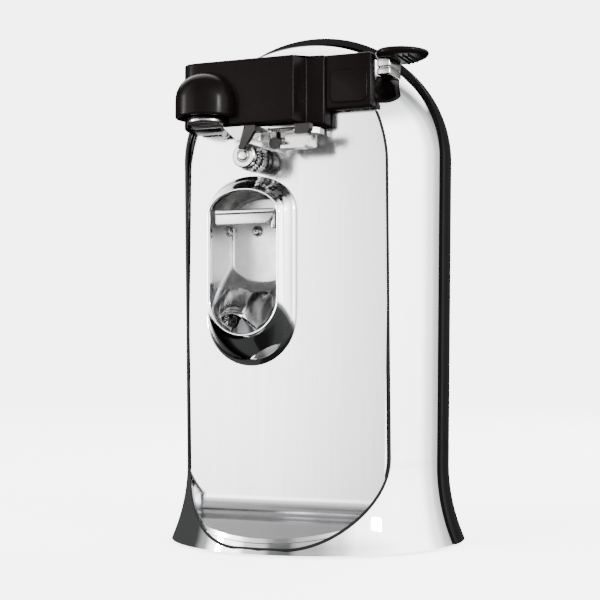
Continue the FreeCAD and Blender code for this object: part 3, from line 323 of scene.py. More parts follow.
FINISHES = make_materials()


# ------------------------------------------------------------------------ mesh tools

SHARP = math.radians(32)            # edges that turn further than this stay sharp
WELD_DISTANCE = 2e-6                # metres between CAD points that are one


def finish_piece(name, mesh, node, sharp=SHARP):
    """Turn a mesh into a piece that stands for a CAD node and rides on its body."""
    if sharp:
        mesh.shade_smooth()
        mesh.set_sharp_from_angle(angle=sharp)
    piece = bpy.data.objects.new(name, mesh)
    bpy.context.scene.collection.objects.link(piece)
    slot = ROWS[node]["material_slot"]
    mesh.materials.clear()
    mesh.materials.append(FINISHES[slot])
    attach(piece, NODES[node]["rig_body"])
    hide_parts(node)


def mesh_from(name, verts, faces):
    """A cleaned mesh with outward faces from points in millimetres."""
    mesh = bpy.data.meshes.new(name)
    mesh.from_pydata([Vector(v) * MM for v in verts], [], faces)
    form = bmesh.new()
    form.from_mesh(mesh)
    bmesh.ops.remove_doubles(form, verts=form.verts, dist=1e-6)
    bmesh.ops.recalc_face_normals(form, faces=form.faces)
    form.to_mesh(mesh)
    form.free()
    return mesh


def stack(rings, closed=True, caps=(True, True)):
    """Points and faces that join a run of equal rings, each a loop of points."""
    count = len(rings[0])
    verts = [point for ring in rings for point in ring]
    faces = []
    last = count if closed else count - 1
    for level in range(len(rings) - 1):
        low, high = level * count, (level + 1) * count
        for at in range(last):
            after = (at + 1) % count
            faces.append((low + at, low + after, high + after, high + at))
    if caps[0]:
        faces.append(tuple(range(count)))
    if caps[1]:
        faces.append(tuple(range(len(verts) - count, len(verts))))
    return verts, faces


def join(*parts):
    """Several (points, faces) pairs as one."""
    verts, faces = [], []
    for more_verts, more_faces in parts:
        start = len(verts)
        verts += list(more_verts)
        faces += [tuple(start + at for at in face) for face in more_faces]
    return verts, faces


def shrink(outline, amount):
    """A closed outline moved inwards along its corner normals; it runs anticlockwise."""
    points = np.array(outline, float)
    ahead = np.roll(points, -1, 0) - points
    ahead /= np.maximum(np.linalg.norm(ahead, axis=1, keepdims=True), 1e-9)
    behind = np.roll(ahead, 1, 0)
    normal = np.stack([-(ahead[:, 1] + behind[:, 1]), ahead[:, 0] + behind[:, 0]], 1)
    size = np.linalg.norm(normal, axis=1, keepdims=True)
    normal /= np.maximum(size, 1e-9)
    stretch = 1 / np.clip(size / 2, 0.5, 1)
    return [tuple(point) for point in points + normal * stretch * amount]


def rounded(outline, radius, steps=6):
    """An outline whose corners are replaced by arcs; radius is one number or one each."""
    count = len(outline)
    radii = radius if isinstance(radius, (list, tuple)) else [radius] * count
    made = []
    for at in range(count):
        corner = Vector(outline[at])
        before, after = Vector(outline[at - 1]), Vector(outline[(at + 1) % count])
        into, out = (before - corner).normalized(), (after - corner).normalized()
        if radii[at] <= 0:
            made.append(tuple(corner))
            continue
        half = into.angle(out) / 2
        back = radii[at] / math.tan(half)
        centre = corner + (into + out).normalized() * (radii[at] / math.sin(half))
        start = corner + into * back - centre
        end = corner + out * back - centre
        sweep = start.angle(end)
        for step in range(steps + 1):
            part = step / steps
            spot = (start * math.sin((1 - part) * sweep) + end * math.sin(part * sweep))
            made.append(tuple(centre + spot / math.sin(sweep)))
    return made


def softened(outline, low, high, edge_low, edge_high, lift, steps=4):
    """Rings of a prism with rounded ends; lift turns (a, b, level) into a point."""
    rings = []
    for step in range(steps + 1):
        angle = step / steps * math.pi / 2
        inset = edge_low * (1 - math.sin(angle))
        level = low + edge_low * (1 - math.cos(angle))
        rings.append([lift(a, b, level) for a, b in shrink(outline, inset)])
    for step in range(steps + 1):
        angle = step / steps * math.pi / 2
        inset = edge_high * (1 - math.cos(angle))
        level = high - edge_high * (1 - math.sin(angle))
        rings.append([lift(a, b, level) for a, b in shrink(outline, inset)])
    return rings


def upright(x, y, z):
    """Plan outline: levels run up."""
    return (x, y, z)


def facing(x, z, level):
    """Front outline: levels run from back to front."""
    return (x, -level, z)


def prism(outline, low, high, lift, edge=0.2, steps=2):
    """A prism with small rounded edges."""
    return stack(softened(outline, low, high, edge, edge, lift, steps))


def lathe(profile, centre, axis, count=64):
    """Turn (radius, along) points about an axis: x, y (towards the front) or z (up)."""
    rings = []
    for radius, along in profile:
        ring = []
        for at in range(count):
            angle = 2 * math.pi * at / count
            across, up = radius * math.cos(angle), radius * math.sin(angle)
            ring.append({
                "x": (centre[0] + along, centre[1] + across, centre[2] + up),
                "y": (centre[0] + across, centre[1] - along, centre[2] + up),
                "z": (centre[0] + across, centre[1] + up, centre[2] + along),
            }[axis])
        rings.append(ring)
    return stack(rings)


# ------------------------------------------------- turned skins, laid on exact surfaces

FOOT_RADIUS, RIM_RADIUS, RIM_HEIGHT = 69.0, 68.0, 3.8
WAIST_RADIUS, WAIST_HEIGHT = 61.8, 38.0
SHOULDER_RADIUS, SHOULDER_HEIGHT = 63.6, 180.0
SHELL_RISE, COVER_RISE, COVER_PROUD = 55.5, 59.5, 0.9
SHELL_BOTTOM = 1.2
FLARE_IN, FLARE_UP = 0.26, 0.55 # the rim's share in the foot arc's middle: across, up
RIM_STEPS, FLARE_STEPS, WALL_STEPS, DOME_STEPS = 40, 600, 400, 900
SMOOTHING = 60                  # passes that even out the profile's normals
CLOSE = 0.12                    # how near to the exact surface a CAD point lies
BESIDE = 1.0                    # how far off the profile's nearest sample may be


def arc_through(start, middle, end, steps):
    """Points along the circle through three points, all as (radius, height)."""
    (ax, ay), (bx, by), (cx, cy) = start, middle, end
    twice = 2 * (ax * (by - cy) + bx * (cy - ay) + cx * (ay - by))
    a2, b2, c2 = ax * ax + ay * ay, bx * bx + by * by, cx * cx + cy * cy
    ux = (a2 * (by - cy) + b2 * (cy - ay) + c2 * (ay - by)) / twice
    uy = (a2 * (cx - bx) + b2 * (ax - cx) + c2 * (bx - ax)) / twice
    first, last = math.atan2(ay - uy, ax - ux), math.atan2(cy - uy, cx - ux)
    turn = (last - first + math.pi) % (2 * math.pi) - math.pi
    size = math.hypot(ax - ux, ay - uy)
    return [(ux + size * math.cos(first + turn * k / steps),
             uy + size * math.sin(first + turn * k / steps)) for k in range(steps + 1)]


def turned_profile(proud, rise):
    """Closely spaced points up the outside of the turned shell."""
    waist, rim = WAIST_RADIUS + proud, RIM_RADIUS + proud
    shoulder = SHOULDER_RADIUS + proud
    knee, steep, slope = (math.cos(math.radians(a)) for a in (45, 22.5, 67.5))
    flare_mid = (rim * FLARE_IN + waist * (1 - FLARE_IN),
                 RIM_HEIGHT * FLARE_UP + WAIST_HEIGHT * (1 - FLARE_UP))
    bend = (shoulder * knee, SHOULDER_HEIGHT + rise * knee)
    line = [(FOOT_RADIUS + proud + (RIM_RADIUS - FOOT_RADIUS) * k / RIM_STEPS,
             SHELL_BOTTOM + (RIM_HEIGHT - SHELL_BOTTOM) * k / RIM_STEPS)
            for k in range(RIM_STEPS)]
    line += arc_through((rim, RIM_HEIGHT), flare_mid, (waist, WAIST_HEIGHT), FLARE_STEPS)[:-1]
    line += [(waist + (shoulder - waist) * k / WALL_STEPS,
              WAIST_HEIGHT + (SHOULDER_HEIGHT - WAIST_HEIGHT) * k / WALL_STEPS)
             for k in range(WALL_STEPS)]
    line += arc_through((shoulder, SHOULDER_HEIGHT),
                        (shoulder * steep, SHOULDER_HEIGHT + rise * slope), bend,
                        DOME_STEPS)[:-1]
    line += arc_through(bend, (shoulder * slope, SHOULDER_HEIGHT + rise * steep),
                        (0, SHOULDER_HEIGHT + rise), DOME_STEPS)
    return line


class TurnedSurface:
    """Finds the exact place and normal of points near a turned surface."""

    def __init__(self, proud, rise):
        line = np.array(turned_profile(proud, rise))
        along = np.gradient(line, axis=0)
        across = np.stack([along[:, 1], -along[:, 0]], 1)
        across /= np.linalg.norm(across, axis=1, keepdims=True)
        smooth = across.copy()
        for _ in range(SMOOTHING):
            smooth[1:-1] = (smooth[:-2] + smooth[1:-1] * 2 + smooth[2:]) / 4
        self.line, self.normals = line, smooth

    def lay(self, point):
        """(new point, normal) for a point in mm, or None if it is not on the surface."""
        radius = math.hypot(point[0], point[1])
        at = int(np.argmin((self.line[:, 0] - radius) ** 2 + (self.line[:, 1] - point[2]) ** 2))
        exact, normal = self.line[at], self.normals[at]
        gap = (radius - exact[0]) * normal[0] + (point[2] - exact[1]) * normal[1]
        if abs(gap) > CLOSE or abs(exact[1] - point[2]) + abs(exact[0] - radius) > BESIDE:
            return None
        scale = 1 - gap * normal[0] / max(radius, 1e-6)
        place = (point[0] * scale, point[1] * scale, point[2] - gap * normal[1])
        turn = 1 / max(radius, 1e-6)
        return place, (point[0] * turn * normal[0], point[1] * turn * normal[0], normal[1])


def refined(node, name, planes, lay, sharp=SHARP):
    """A finer copy of a CAD skin whose curved faces carry exact points and normals."""
    form = bmesh.new()
    form.from_mesh(NODES[node].data)
    bmesh.ops.remove_doubles(form, verts=form.verts, dist=WELD_DISTANCE)
    for place, normal in planes:
        everything = form.verts[:] + form.edges[:] + form.faces[:]
        bmesh.ops.bisect_plane(form, geom=everything, dist=1e-7,
                               plane_co=Vector(place) * MM, plane_no=normal)
    form.verts.index_update()
    normals = {}
    for vert in form.verts:
        found = lay(tuple(vert.co / MM))
        if found:
            vert.co = Vector(found[0]) * MM
            normals[vert.index] = Vector(found[1])
    verts = [vert.co.copy() for vert in form.verts]
    faces = [tuple(vert.index for vert in face.verts) for face in form.faces]
    form.free()
    mesh = bpy.data.meshes.new(name)
    mesh.from_pydata(verts, [], faces)
    mesh.shade_smooth()
    mesh.set_sharp_from_angle(angle=sharp)
    loops = [Vector(item.vector) for item in mesh.corner_normals]
    for face in mesh.polygons:
        if all(at in normals for at in face.vertices):
            middle = sum((normals[at] for at in face.vertices), Vector()).normalized()
            if middle.dot(face.normal) > 0.9:
                for loop in face.loop_indices:
                    loops[loop] = normals[mesh.loops[loop].vertex_index]
    mesh.normals_split_custom_set(loops)
    finish_piece(name, mesh, node, sharp=None)


def level_planes(*spans):
    """Horizontal cutting planes from (low, high, step) spans."""
    return [((0, 0, z), (0, 0, 1)) for low, high, step in spans
            for z in np.arange(low, high, step)]


def axis_planes(step, first=0.0, last=180.0):
    """Upright cutting planes through the body's axis."""
    return [((0, 0, 0), (math.cos(math.radians(a)), math.sin(math.radians(a)), 0))
            for a in np.arange(first, last, step)]


# close cuts where the profile curves: the flared foot, the dome and its crown
SKIN_PLANES = level_planes((3.0, 38.0, 1.4), (44.0, 180.0, 24.0), (181.0, 228.0, 2.0),
                           (228.5, 239.0, 0.7)) + axis_planes(3.0)


def make_turned_skins():
    """The chrome shell and the black cover."""
    refined("body_shell", "shell_skin", SKIN_PLANES, TurnedSurface(0, SHELL_RISE).lay)
    refined("rear_cover", "cover_skin", SKIN_PLANES, TurnedSurface(COVER_PROUD, COVER_RISE).lay)


# ------------------------------------------------------------------------ front panel

WINDOW_HALF, WINDOW_BOTTOM, WINDOW_TOP, ARCH_START = 49.6, 3.2, 226.0, 174.0
WINDOW_CORNER, LAND_START = 39.0, 196.0

PANEL_FACE = -38.5
LEDGE_HEIGHT, LEDGE_BEND, LEDGE_FRONT, LEDGE_FALL = 14.5, 9.0, -72.0, 9.0


def lay_panel(point):
    """The panel's front face, the bend at its foot and the falling ledge."""
    x, y, z = point
    bend_y, bend_z = PANEL_FACE - LEDGE_BEND, LEDGE_HEIGHT + LEDGE_BEND
    if z >= bend_z - 1e-3:
        return ((x, PANEL_FACE, z), (0, -1, 0)) if abs(y - PANEL_FACE) < 0.02 else None
    if y >= bend_y - 1e-3:
        reach = math.hypot(y - bend_y, z - bend_z)
        if abs(reach - LEDGE_BEND) > CLOSE:
            return None
        out = ((y - bend_y) / reach, (z - bend_z) / reach)
        place = (x, bend_y + out[0] * LEDGE_BEND, bend_z + out[1] * LEDGE_BEND)
        return place, (0, -out[0], -out[1])
    fall = LEDGE_FALL / (bend_y - LEDGE_FRONT)
    if abs(z - (LEDGE_HEIGHT - fall * (bend_y - y))) > 0.05:
        return None
    ease = min(1.0, (bend_y - y) / 5.0)
    return point, tuple(Vector((0, -fall * ease, 1)).normalized())


def make_panel():
    """The satin front panel with its curled foot."""
    planes = level_planes((15.0, 24.0, 0.6), (30.0, 220.0, 20.0))
    planes += [((0, y, 0), (0, 1, 0)) for y in np.arange(-53.0, -39.0, 0.8)]
    refined("front_panel", "panel_skin", planes, lay_panel)


def window_line(inset, steps=40):
    """The window's outline as (x, z) points, from the arch's top right round and back."""
    half, low = WINDOW_HALF - inset, WINDOW_BOTTOM + inset
    rise, corner = WINDOW_TOP - inset - ARCH_START, WINDOW_CORNER - inset
    line = []
    for step in range(4 * steps):
        angle = math.pi / 2 * step / (4 * steps)
        line.append((half * math.sin(angle), ARCH_START + rise * math.cos(angle)))
    line += [(half, ARCH_START + (low + corner - ARCH_START) * k / steps) for k in range(steps)]
    for step in range(steps):
        angle = math.pi / 2 * step / steps
        line.append((half - corner + corner * math.cos(angle),
                     low + corner - corner * math.sin(angle)))
    line.append((0.0, low))
    return line + [(-x, z) for x, z in reversed(line[1:-1])]


GASKET_INSET = 0.15
GASKET_HALF_WIDTH, GASKET_PROUD = 0.75, 0.40
HEAD_COVERS = (46.0, 214.0)     # within this reach and above this height the head hides it
DEEPEST = -26.0                 # the joint runs no further back than this


def make_gasket():
    """The dark line in the joint between the panel and the shell."""
    surface = np.array(turned_profile(0, SHELL_RISE))
    heights, radii = surface[:, 1], surface[:, 0]
    points = []
    for x, z in window_line(GASKET_INSET):
        if abs(x) < HEAD_COVERS[0] and z > HEAD_COVERS[1]:
            continue
        radius = float(np.interp(z, heights, radii))
        depth = -math.sqrt(max(radius * radius - x * x, 0))
        if z > LAND_START:
            depth = max(depth, PANEL_FACE - 0.1)
        points.append(Vector((x, min(depth, DEEPEST), z)))
    rings = []
    for at, point in enumerate(points):
        ahead = points[min(at + 1, len(points) - 1)] - points[max(at - 1, 0)]
        ahead.normalize()
        out = Vector((point.x, point.y, 0)).normalized()
        side = ahead.cross(out).normalized()
        rings.append([tuple(point + side * GASKET_HALF_WIDTH * math.cos(a)
                            + out * GASKET_PROUD * math.sin(a))
                      for a in (2 * math.pi * k / 10 for k in range(10))])
    verts, faces = stack(rings)
    mesh = mesh_from("panel_gasket", verts, faces)
    mesh.shade_smooth()
    mesh.materials.append(FINISHES["rubber"])
    gasket = bpy.data.objects.new("panel_gasket", mesh)
    bpy.context.scene.collection.objects.link(gasket)
    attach(gasket, NODES["front_panel"]["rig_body"])


# --------------------------------------------------------------------- bottle opener

OPENER_CENTRE = -17.0
SCOOP_TOP, CAVITY_DEPTH, CAVITY_MOUTH = 118.0, -30.0, -46.5
CAVITY_HALF, CAVITY_LOW, CAVITY_HIGH = 16.6, 96.0, 162.2


def opener_ring(half, low, high, crown, foot, y, count=28):
    """The opener's outline at one depth: a round foot, straight sides, a flat crown."""
    points = []
    for at in range(count):
        angle = math.pi + math.pi * at / count
        points.append((half * math.cos(angle), low + foot + foot * math.sin(angle)))
    for at in range(8):
        points.append((half, low + foot + (high - crown - low - foot) * at / 8))
    for at in range(count):
        angle = math.pi * at / count
        points.append((half * math.cos(angle), high - crown + crown * math.sin(angle)))
    for at in range(8):
        points.append((-half, high - crown - (high - crown - low - foot) * at / 8))
    return [(OPENER_CENTRE + a, y, b) for a, b in points]


def boss_rings():
    """The boss from its edge on the panel to its rim, swelling a little between."""
    rings = [opener_ring(22.6, 82.4, 169.8, 15.6, 22.6, -38.55),
             opener_ring(21.9, 83.2, 169.0, 15.1, 21.9, -38.75),
             opener_ring(21.3, 84.6, 168.4, 14.6, 21.3, -39.5)]
    for step in range(1, 8):
        t = step / 8
        swell = 0.5 * math.sin(math.pi * t)
        rings.append(opener_ring(21.3 - 2.7 * t + swell, 84.6 + 10.6 * t - swell * 1.4,
                                 168.4 - 4.6 * t + swell, 14.6 - 2.4 * t,
                                 21.3 - 2.7 * t + swell, -39.5 - 8.2 * t))
    return rings


def rim_rings():
    """The rolled rim round the mouth."""
    roll = 0.75
    rings = []
    for step in range(7):
        angle = math.radians(15 + 25 * step)
        out = roll * math.cos(angle)
        rings.append(opener_ring(17.4 + out, 96.3 - out, 162.8 + out, 11.3 + out, 17.4 + out,
                                 -47.75 - roll * math.sin(angle)))
    return rings


def cavity_rings():
    """The cavity: its floor rises as a scoop, and its back has a rounded edge."""
    rings = []
    for step in range(13):
        t = step / 12
        rings.append(opener_ring(16.6 - 0.3 * t, 97.0 + 23.5 * t ** 0.92, 162.0 - 0.3 * t, 10.5,
                                 16.6 - 7.0 * t ** 0.8, -47.4 + 21.4 * t))
    for step in range(1, 5):
        angle = math.radians(22.5 * step)
        inset = 1.6 * (1 - math.cos(angle))
        rings.append(opener_ring(16.3 - inset, 120.5 + inset, 161.7 - inset, 10.2 - inset,
                                 9.6 - inset, -26.0 + 1.9 * math.sin(angle)))
    return rings


def paint_cavity_shade(mesh):
    """Give the cavity, all but its scoop, a darker and rougher chrome than the boss; the darker
    colour is painted shade in the recess.
    """
    mesh.materials.append(FINISHES["cavity_shade_chrome"])
    for face in mesh.polygons:
        x, y, z = (value / MM for value in face.center)
        inside = (y > CAVITY_MOUTH and abs(x - OPENER_CENTRE) < CAVITY_HALF
                  and CAVITY_LOW < z < CAVITY_HIGH)
        # the walls above the scoop and the deep back take the painted shade
        if inside and (z > SCOOP_TOP or y > CAVITY_DEPTH):
            face.material_index = 1


def make_opener():
    """The chrome boss, its rolled rim and the scooped cavity, as one lofted skin."""
    verts, faces = stack(boss_rings() + rim_rings() + cavity_rings(), caps=(False, True))
    mesh = mesh_from("opener_skin", verts, faces)
    finish_piece("opener_skin", mesh, "bottle_opener_housing", sharp=math.radians(50))
    paint_cavity_shade(mesh)


def make_opener_plate():
    """The cap lifter: a rolled bar over a plate with rounded lower corners."""
    plate = rounded([(-32.0, 147.0), (-3.4, 147.0), (-3.4, 153.0), (-32.0, 153.0)],
                    [1.2, 4.0, 0.6, 0.6])
    bar = rounded([(-32.1, 151.6), (-1.9, 151.6), (-1.9, 153.9), (-32.1, 153.9)], 0.9)
    shelf = rounded([(-31.6, 151.9), (-2.4, 151.9), (-2.4, 153.6), (-31.6, 153.6)], 0.5)
    tab = rounded([(-4.4, 144.8), (-2.4, 144.8), (-2.4, 152.2), (-4.4, 152.2)], 0.6)
    parts = [
        prism(plate, 44.2, 45.7, facing, 0.4, 3),
        prism(bar, 44.0, 46.7, facing, 0.8, 4),
        prism(shelf, 25.0, 45.0, facing, 0.3),
        prism(tab, 30.0, 44.6, facing, 0.3),
    ]
    verts, faces = join(*parts)
    mesh = mesh_from("cap_lifter", verts, faces)
    finish_piece("cap_lifter", mesh, "bottle_opener_plate")


def screw_head(centre, axis, radius, height):
    """A domed pan head with a round recess in the middle."""
    profile = [(radius, 0), (radius, height * 0.35)]
    for step in range(1, 7):
        angle = math.radians(15 * step)
        profile.append((radius * math.cos(angle * 0.82),
                        height * (0.35 + 0.65 * math.sin(angle))))
    recess = 0.9
    profile += [(recess, height * 0.98), (recess * 0.75, height * 0.55), (0, height * 0.4)]
    return lathe(profile, centre, axis, 28)


def make_opener_screws():
    """The two screws seen inside the opener."""
    parts = [
        screw_head((-20.5, -24.2, 145.6), "y", 2.5, 1.6),
        screw_head((-33.4, -28.0, 145.6), "x", 2.5, 1.6),
    ]
    verts, faces = join(*parts)
    mesh = mesh_from("opener_screw_heads", verts, faces)
    finish_piece("opener_screw_heads", mesh, "bottle_opener_screws")


# ------------------------------------------------------------------------ lever head

HEAD_LEFT, HEAD_RIGHT, HEAD_BACK, HEAD_FRONT = -44.1, 44.2, -39.4, -60.8
HEAD_SETBACK, HEAD_BOTTOM, HEAD_TOP, ARM_BOTTOM = -45.2, 189.6, 221.5, 196.8
HEAD_FALL, HEAD_NOSE = 2.0, 10.0
ROOM_RADIUS, ROOM_TOP = 11.0, 199.0     # the space that the magnet tilts in
BITE_START, BITE_END, BITE_STEPS = 165.0, 6.3, 24
DOME_CENTRE = (-28.8, -62.0)
DOME_RADIUS, DOME_LOW, DOME_TOP = 13.8, 193.4, 213.6
PAD_CENTRE = (54.0, -33.5)
PAD_REACH, PAD_TIP, PAD_HALF_DEPTH, PAD_TOP = 11.7, 0.9, 13.3, 223.15


def head_level(x, y, z):
    """Lower the top towards the front, as the moulding's draft does."""
    forward = min(1.0, max(0.0, (HEAD_SETBACK - y) / (HEAD_SETBACK - HEAD_FRONT)))
    share = (z - HEAD_BOTTOM) / (HEAD_TOP - HEAD_BOTTOM)
    return (x, y, z - HEAD_FALL * forward * share)


def with_bite(outline):
    """The block's outline with the magnet's room bitten out, and the same filled in."""
    turns = [math.radians(BITE_START - (BITE_START - BITE_END) * step / BITE_STEPS)
             for step in range(BITE_STEPS + 1)]
    bite = [(DOME_CENTRE[0] + ROOM_RADIUS * math.cos(turn),
             DOME_CENTRE[1] + ROOM_RADIUS * math.sin(turn)) for turn in turns]
    filled = []
    for x, _ in bite:
        inward = max(0.0, HEAD_LEFT + HEAD_NOSE - x)
        drop = HEAD_NOSE - math.sqrt(HEAD_NOSE ** 2 - inward ** 2)
        filled.append((x, HEAD_FRONT + drop))
    after = next(at for at, (x, y) in enumerate(outline)
                 if x > bite[-1][0] and y < HEAD_SETBACK)
    before = [(x, y) for x, y in outline[:after] if x < bite[0][0] or y > HEAD_SETBACK]
    return before + bite + outline[after:], before + filled + outline[after:]


def make_head():
    """The moulded lever: a front block, and a set-back arm with a raised panel."""
    block = rounded([
        (HEAD_LEFT, HEAD_BACK), (HEAD_LEFT, HEAD_FRONT), (13.2, HEAD_FRONT),
        (14.8, -49.5), (22.6, -47.0), (22.8, HEAD_BACK),
    ], [1.5, HEAD_NOSE, 0.9, 1.0, 1.5, 1.0], 8)
    bitten, whole = with_bite(block)
    arm = rounded([
        (10.0, HEAD_BACK), (10.0, HEAD_SETBACK), (HEAD_RIGHT, HEAD_SETBACK),
        (HEAD_RIGHT, HEAD_BACK),
    ], [1.0, 1.0, 1.6, 1.0], 5)
    panel = rounded([(24.5, 199.5), (42.2, 199.5), (42.2, 214.5), (24.5, 214.5)], 3.0)
    parts = [
        stack(softened(bitten, HEAD_BOTTOM, ROOM_TOP, 1.6, 0.0, head_level, 5)
              + softened(whole, ROOM_TOP, HEAD_TOP, 0.0, 1.3, head_level, 5)),
        stack(softened(arm, ARM_BOTTOM, HEAD_TOP, 1.2, 1.3, head_level, 5)),
        stack(softened(panel, -HEAD_SETBACK - 0.4, -HEAD_SETBACK + 0.55, 0.1, 0.5, facing, 4)),
        dome_collar(),
    ]
    mesh = mesh_from("head_skin", *join(*parts))
    finish_piece("head_skin", mesh, "lever_arm", sharp=math.radians(40))


def dome_collar():
    """A low crescent ridge on the block where the dome grows out of it."""
    rings = []
    steps = 40
    for step in range(steps + 1):
        part = step / steps
        angle = math.radians(5 + 130 * part)
        size = 0.15 + 0.75 * math.sin(math.pi * part)
        centre = (DOME_CENTRE[0] + 14.7 * math.cos(angle), 199.0 + 15.0 * math.sin(angle))
        ring = []
        for turn in range(12):
            swing = 2 * math.pi * turn / 12
            reach = size * math.cos(swing)
            ring.append((centre[0] + reach * math.cos(angle),
                         HEAD_FRONT - size * 0.8 * math.sin(swing),
                         centre[1] + reach * math.sin(angle)))
        rings.append(ring)
    return stack(rings)


def make_dome():
    """The round magnet cover: a soft-topped drum, hollow below."""
    radius, low, high = DOME_RADIUS, DOME_LOW, DOME_TOP
    profile = [(radius - 2.2, low + 5.5), (radius - 2.1, low + 0.5), (radius - 1.5, low + 0.05),
               (radius - 0.4, low), (radius - 0.05, low + 0.4), (radius, low + 1.2)]
    profile += [(radius, low + 4), (radius, low + 7)]
    rise = high - low - 8.0
    for step in range(1, 25):
        angle = math.pi / 2 * step / 24
        across = radius * math.cos(angle) ** 0.86
        profile.append((across, low + 8.0 + rise * math.sin(angle)))
    verts, faces = lathe(profile[:-1] + [(0.0, high)], (*DOME_CENTRE, 0), "z", 96)
    mesh = mesh_from("dome_skin", verts, faces)
    finish_piece("dome_skin", mesh, "magnet_housing", sharp=math.radians(50))


def make_pad():
    """The thumb pad: a thin rounded blade, ribbed below."""
    blade = [(PAD_CENTRE[0] + PAD_REACH * math.cos(a) + PAD_TIP * math.cos(2 * a),
              PAD_CENTRE[1] + PAD_HALF_DEPTH * math.sin(a))
             for a in (2 * math.pi * k / 96 for k in range(96))]
    shape = [(0.45, 218.9), (0.70, 219.0), (0.86, 219.3), (0.95, 219.8), (0.99, 220.5),
             (1.0, 221.2), (0.99, 221.8), (0.955, 222.35), (0.88, 222.8), (0.74, 223.05),
             (0.5, PAD_TOP)]
    middle = (PAD_CENTRE[0] - 1.0, PAD_CENTRE[1])
    rings = []
    for size, z in shape:
        ring = []
        for x, y in blade:
            across = middle[0] + (x - middle[0]) * size
            lift = max(0.0, (across - middle[0]) / 12) * 0.2 * (PAD_TOP - z)
            ring.append((across, middle[1] + (y - middle[1]) * size, z + lift))
        rings.append(ring)
    ribs = [
        prism(rounded([(54.8 + 2.2 * k, -42.0 + k), (55.7 + 2.2 * k, -42.0 + k),
                       (55.7 + 2.2 * k, -25.0 - k), (54.8 + 2.2 * k, -25.0 - k)], 0.3),
              218.3 + 0.1 * k, 220.0, upright, 0.2)
        for k in range(3)
    ]
    verts, faces = join(stack(rings), *ribs)
    mesh = mesh_from("pad_skin", verts, faces)
    finish_piece("pad_skin", mesh, "thumb_pad", sharp=math.radians(40))


def make_rest():
    """The steel stop under the pad, with a groove round it."""
    def block(low, high, grow):
        outline = rounded([(45.1 + grow, -40.9 + grow), (51.3 - grow, -40.9 + grow),
                           (51.3 - grow, -25.0), (45.1 + grow, -25.0)], 0.9)
        return prism(outline, low, high, upright, 0.45, 3)
    verts, faces = join(block(211.7, 214.7, 0), block(214.5, 215.4, 0.5), block(215.2, 218.9, 0))
    mesh = mesh_from("rest_block", verts, faces)
    finish_piece("rest_block", mesh, "lever_rest")


# ---------------------------------------------------------------- small metalwork

WHEEL_X, WHEEL_Z = -10.5, 176.0
WHEEL_TEETH, TOOTH_SAMPLES, TOOTH_DEPTH = 26, 8, 0.75
GROOVE_SHADE_RADIUS, GROOVE_SHADE_DEPTH = 5.2, -60.5   # faces inside this radius, behind this depth, get dark steel as painted shade in the grooves


def make_drive_wheel():
    """The toothed feed wheel with its turned front; each row is radius, depth, toothed."""
    count = WHEEL_TEETH * TOOTH_SAMPLES
    profile = [
        (2.75, -59.5, 0), (2.95, -61.3, 0), (3.3, -61.6, 0), (4.9, -61.6, 0), (5.4, -61.1, 0),
        (5.5, -59.3, 0), (4.1, -58.9, 0), (3.8, -58.2, 0), (4.1, -57.5, 0), (5.8, -57.2, 1),
        (6.15, -56.7, 1), (6.15, -54.3, 1), (5.8, -53.8, 1), (4.0, -53.5, 0), (3.7, -52.6, 0),
        (4.0, -51.7, 0), (5.8, -51.4, 1), (6.15, -50.9, 1), (6.15, -47.2, 1), (5.8, -46.7, 1),
        (4.3, -46.3, 0), (4.3, -44.1, 0),
    ]
    rings = []
    for radius, y, toothed in profile:
        ring = []
        for at in range(count):
            angle = 2 * math.pi * at / count
            wave = abs(((at * WHEEL_TEETH / count) % 1) * 2 - 1)
            reach = radius - (TOOTH_DEPTH * wave if toothed else 0)
            ring.append((WHEEL_X + reach * math.cos(angle), y,
                         WHEEL_Z + reach * math.sin(angle)))
        rings.append(ring)
    verts, faces = stack(rings)
    mesh = mesh_from("feed_wheel", verts, faces)
    finish_piece("feed_wheel", mesh, "drive_wheel", sharp=math.radians(24))
    # the grooves, the hub behind and the ring round the cap get dark steel: painted shade
    mesh.materials.append(FINISHES["dark_steel"])
    for face in mesh.polygons:
        x, y, z = (value / MM for value in face.center)
        if math.hypot(x - WHEEL_X, z - WHEEL_Z) < GROOVE_SHADE_RADIUS and y > GROOVE_SHADE_DEPTH:
            face.material_index = 1


def make_wheel_cap():
    """The wheel's nut, with a round front, in a groove whose darkness is painted shade."""
    profile = [(0, 61.85), (1.5, 61.82), (2.1, 61.7), (2.35, 61.4), (2.4, 61.0), (2.4, 59.6)]
    verts, faces = lathe(profile, (WHEEL_X, 0, WHEEL_Z), "y", 40)
    mesh = mesh_from("wheel_cap", verts, faces)
    finish_piece("wheel_cap", mesh, "wheel_nut", sharp=math.radians(40))


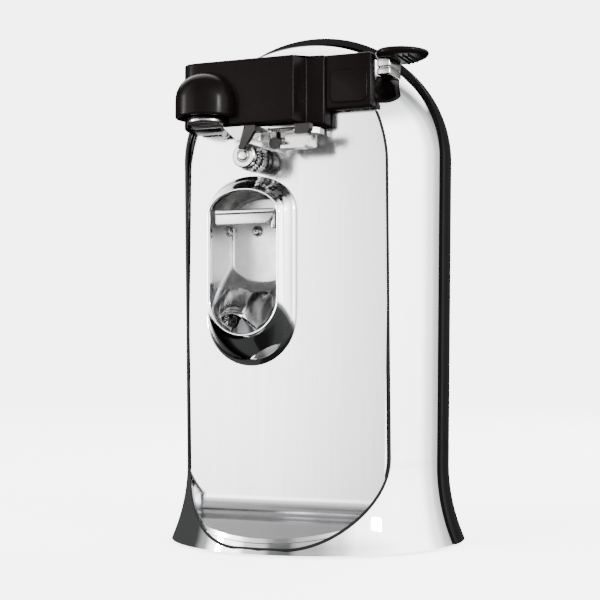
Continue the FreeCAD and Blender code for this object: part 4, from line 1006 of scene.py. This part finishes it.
def make_magnet_cup():
    """The plated cup that holds the magnet, with a rolled lip."""
    profile = [(0, 192.2), (6.4, 192.2), (6.7, 191.2), (7.2, 190.7), (7.7, 190.75),
               (8.15, 191.3), (8.2, 192.0), (8.0, 193.2), (7.6, 194.6), (6.8, 195.5),
               (5.6, 195.8), (0, 195.8)]
    verts, faces = lathe(profile, (*DOME_CENTRE, 0), "z", 72)
    mesh = mesh_from("cup_skin", verts, faces)
    finish_piece("cup_skin", mesh, "magnet_cup", sharp=math.radians(45))


DARKENED = ("cutting_blade", "magnet_arm", "can_guide_pin", "frame_nut")
BEVELLED = (
    "shoulder_cup", "lever_frame", "cutting_blade", "stripper_plate", "guide_bracket",
    "magnet_arm", "magnet_lug", "frame_nut", "can_guide_pin", "lever_rod", "base_plate",
    "switch_plunger", "sharpener_guide",
)
BEVEL_WIDTH, BEVEL_ANGLE = 0.25, math.radians(35)


def crisp_edges(name):
    """Soften a small CAD part's edges so that they catch the light."""
    part = NODES[name]
    weld = part.modifiers.new("weld", "WELD")
    weld.merge_threshold = WELD_DISTANCE
    bevel = part.modifiers.new("bevel", "BEVEL")
    bevel.width = BEVEL_WIDTH * MM
    bevel.segments = 2
    bevel.limit_method = "ANGLE"
    bevel.angle_limit = BEVEL_ANGLE
    bevel.harden_normals = True


def dress_frame():
    """Give every CAD node the finish of its material slot; some metal is darker."""
    for name, row in ROWS.items():
        slots = NODES[name].data.materials
        slots.clear()
        slots.append(FINISHES[row["material_slot"]])
    for name in DARKENED:
        NODES[name].data.materials[0] = FINISHES["dark_steel"]
    for name in BEVELLED:
        crisp_edges(name)


make_camera()
make_world()
make_floor()
area_light("key_light", (-0.75, -0.9, 1.0), (0, 0, 0.12), (0.9, 1.2), 22)
area_light("side_light", (1.1, -0.5, 0.55), (0, 0, 0.12), (0.6, 1.1), 10)
area_light("back_light", (0.3, 1.0, 0.9), (0, 0, 0.15), (1.0, 0.8), 14)
area_light("right_strip", (1.11, -0.37, 0.42), (0, 0, 0.20), (0.16, 0.12), 18, strip=True)
area_light("left_strip", (-1.05, -0.55, 0.25), (0, 0, 0.20), (0.12, 0.50), 14, strip=True)
dress_frame()
make_turned_skins()
make_panel()
make_gasket()
make_opener()
make_opener_plate()
make_opener_screws()
make_head()
make_dome()
make_pad()
make_rest()
make_drive_wheel()
make_wheel_cap()
make_magnet_cup()
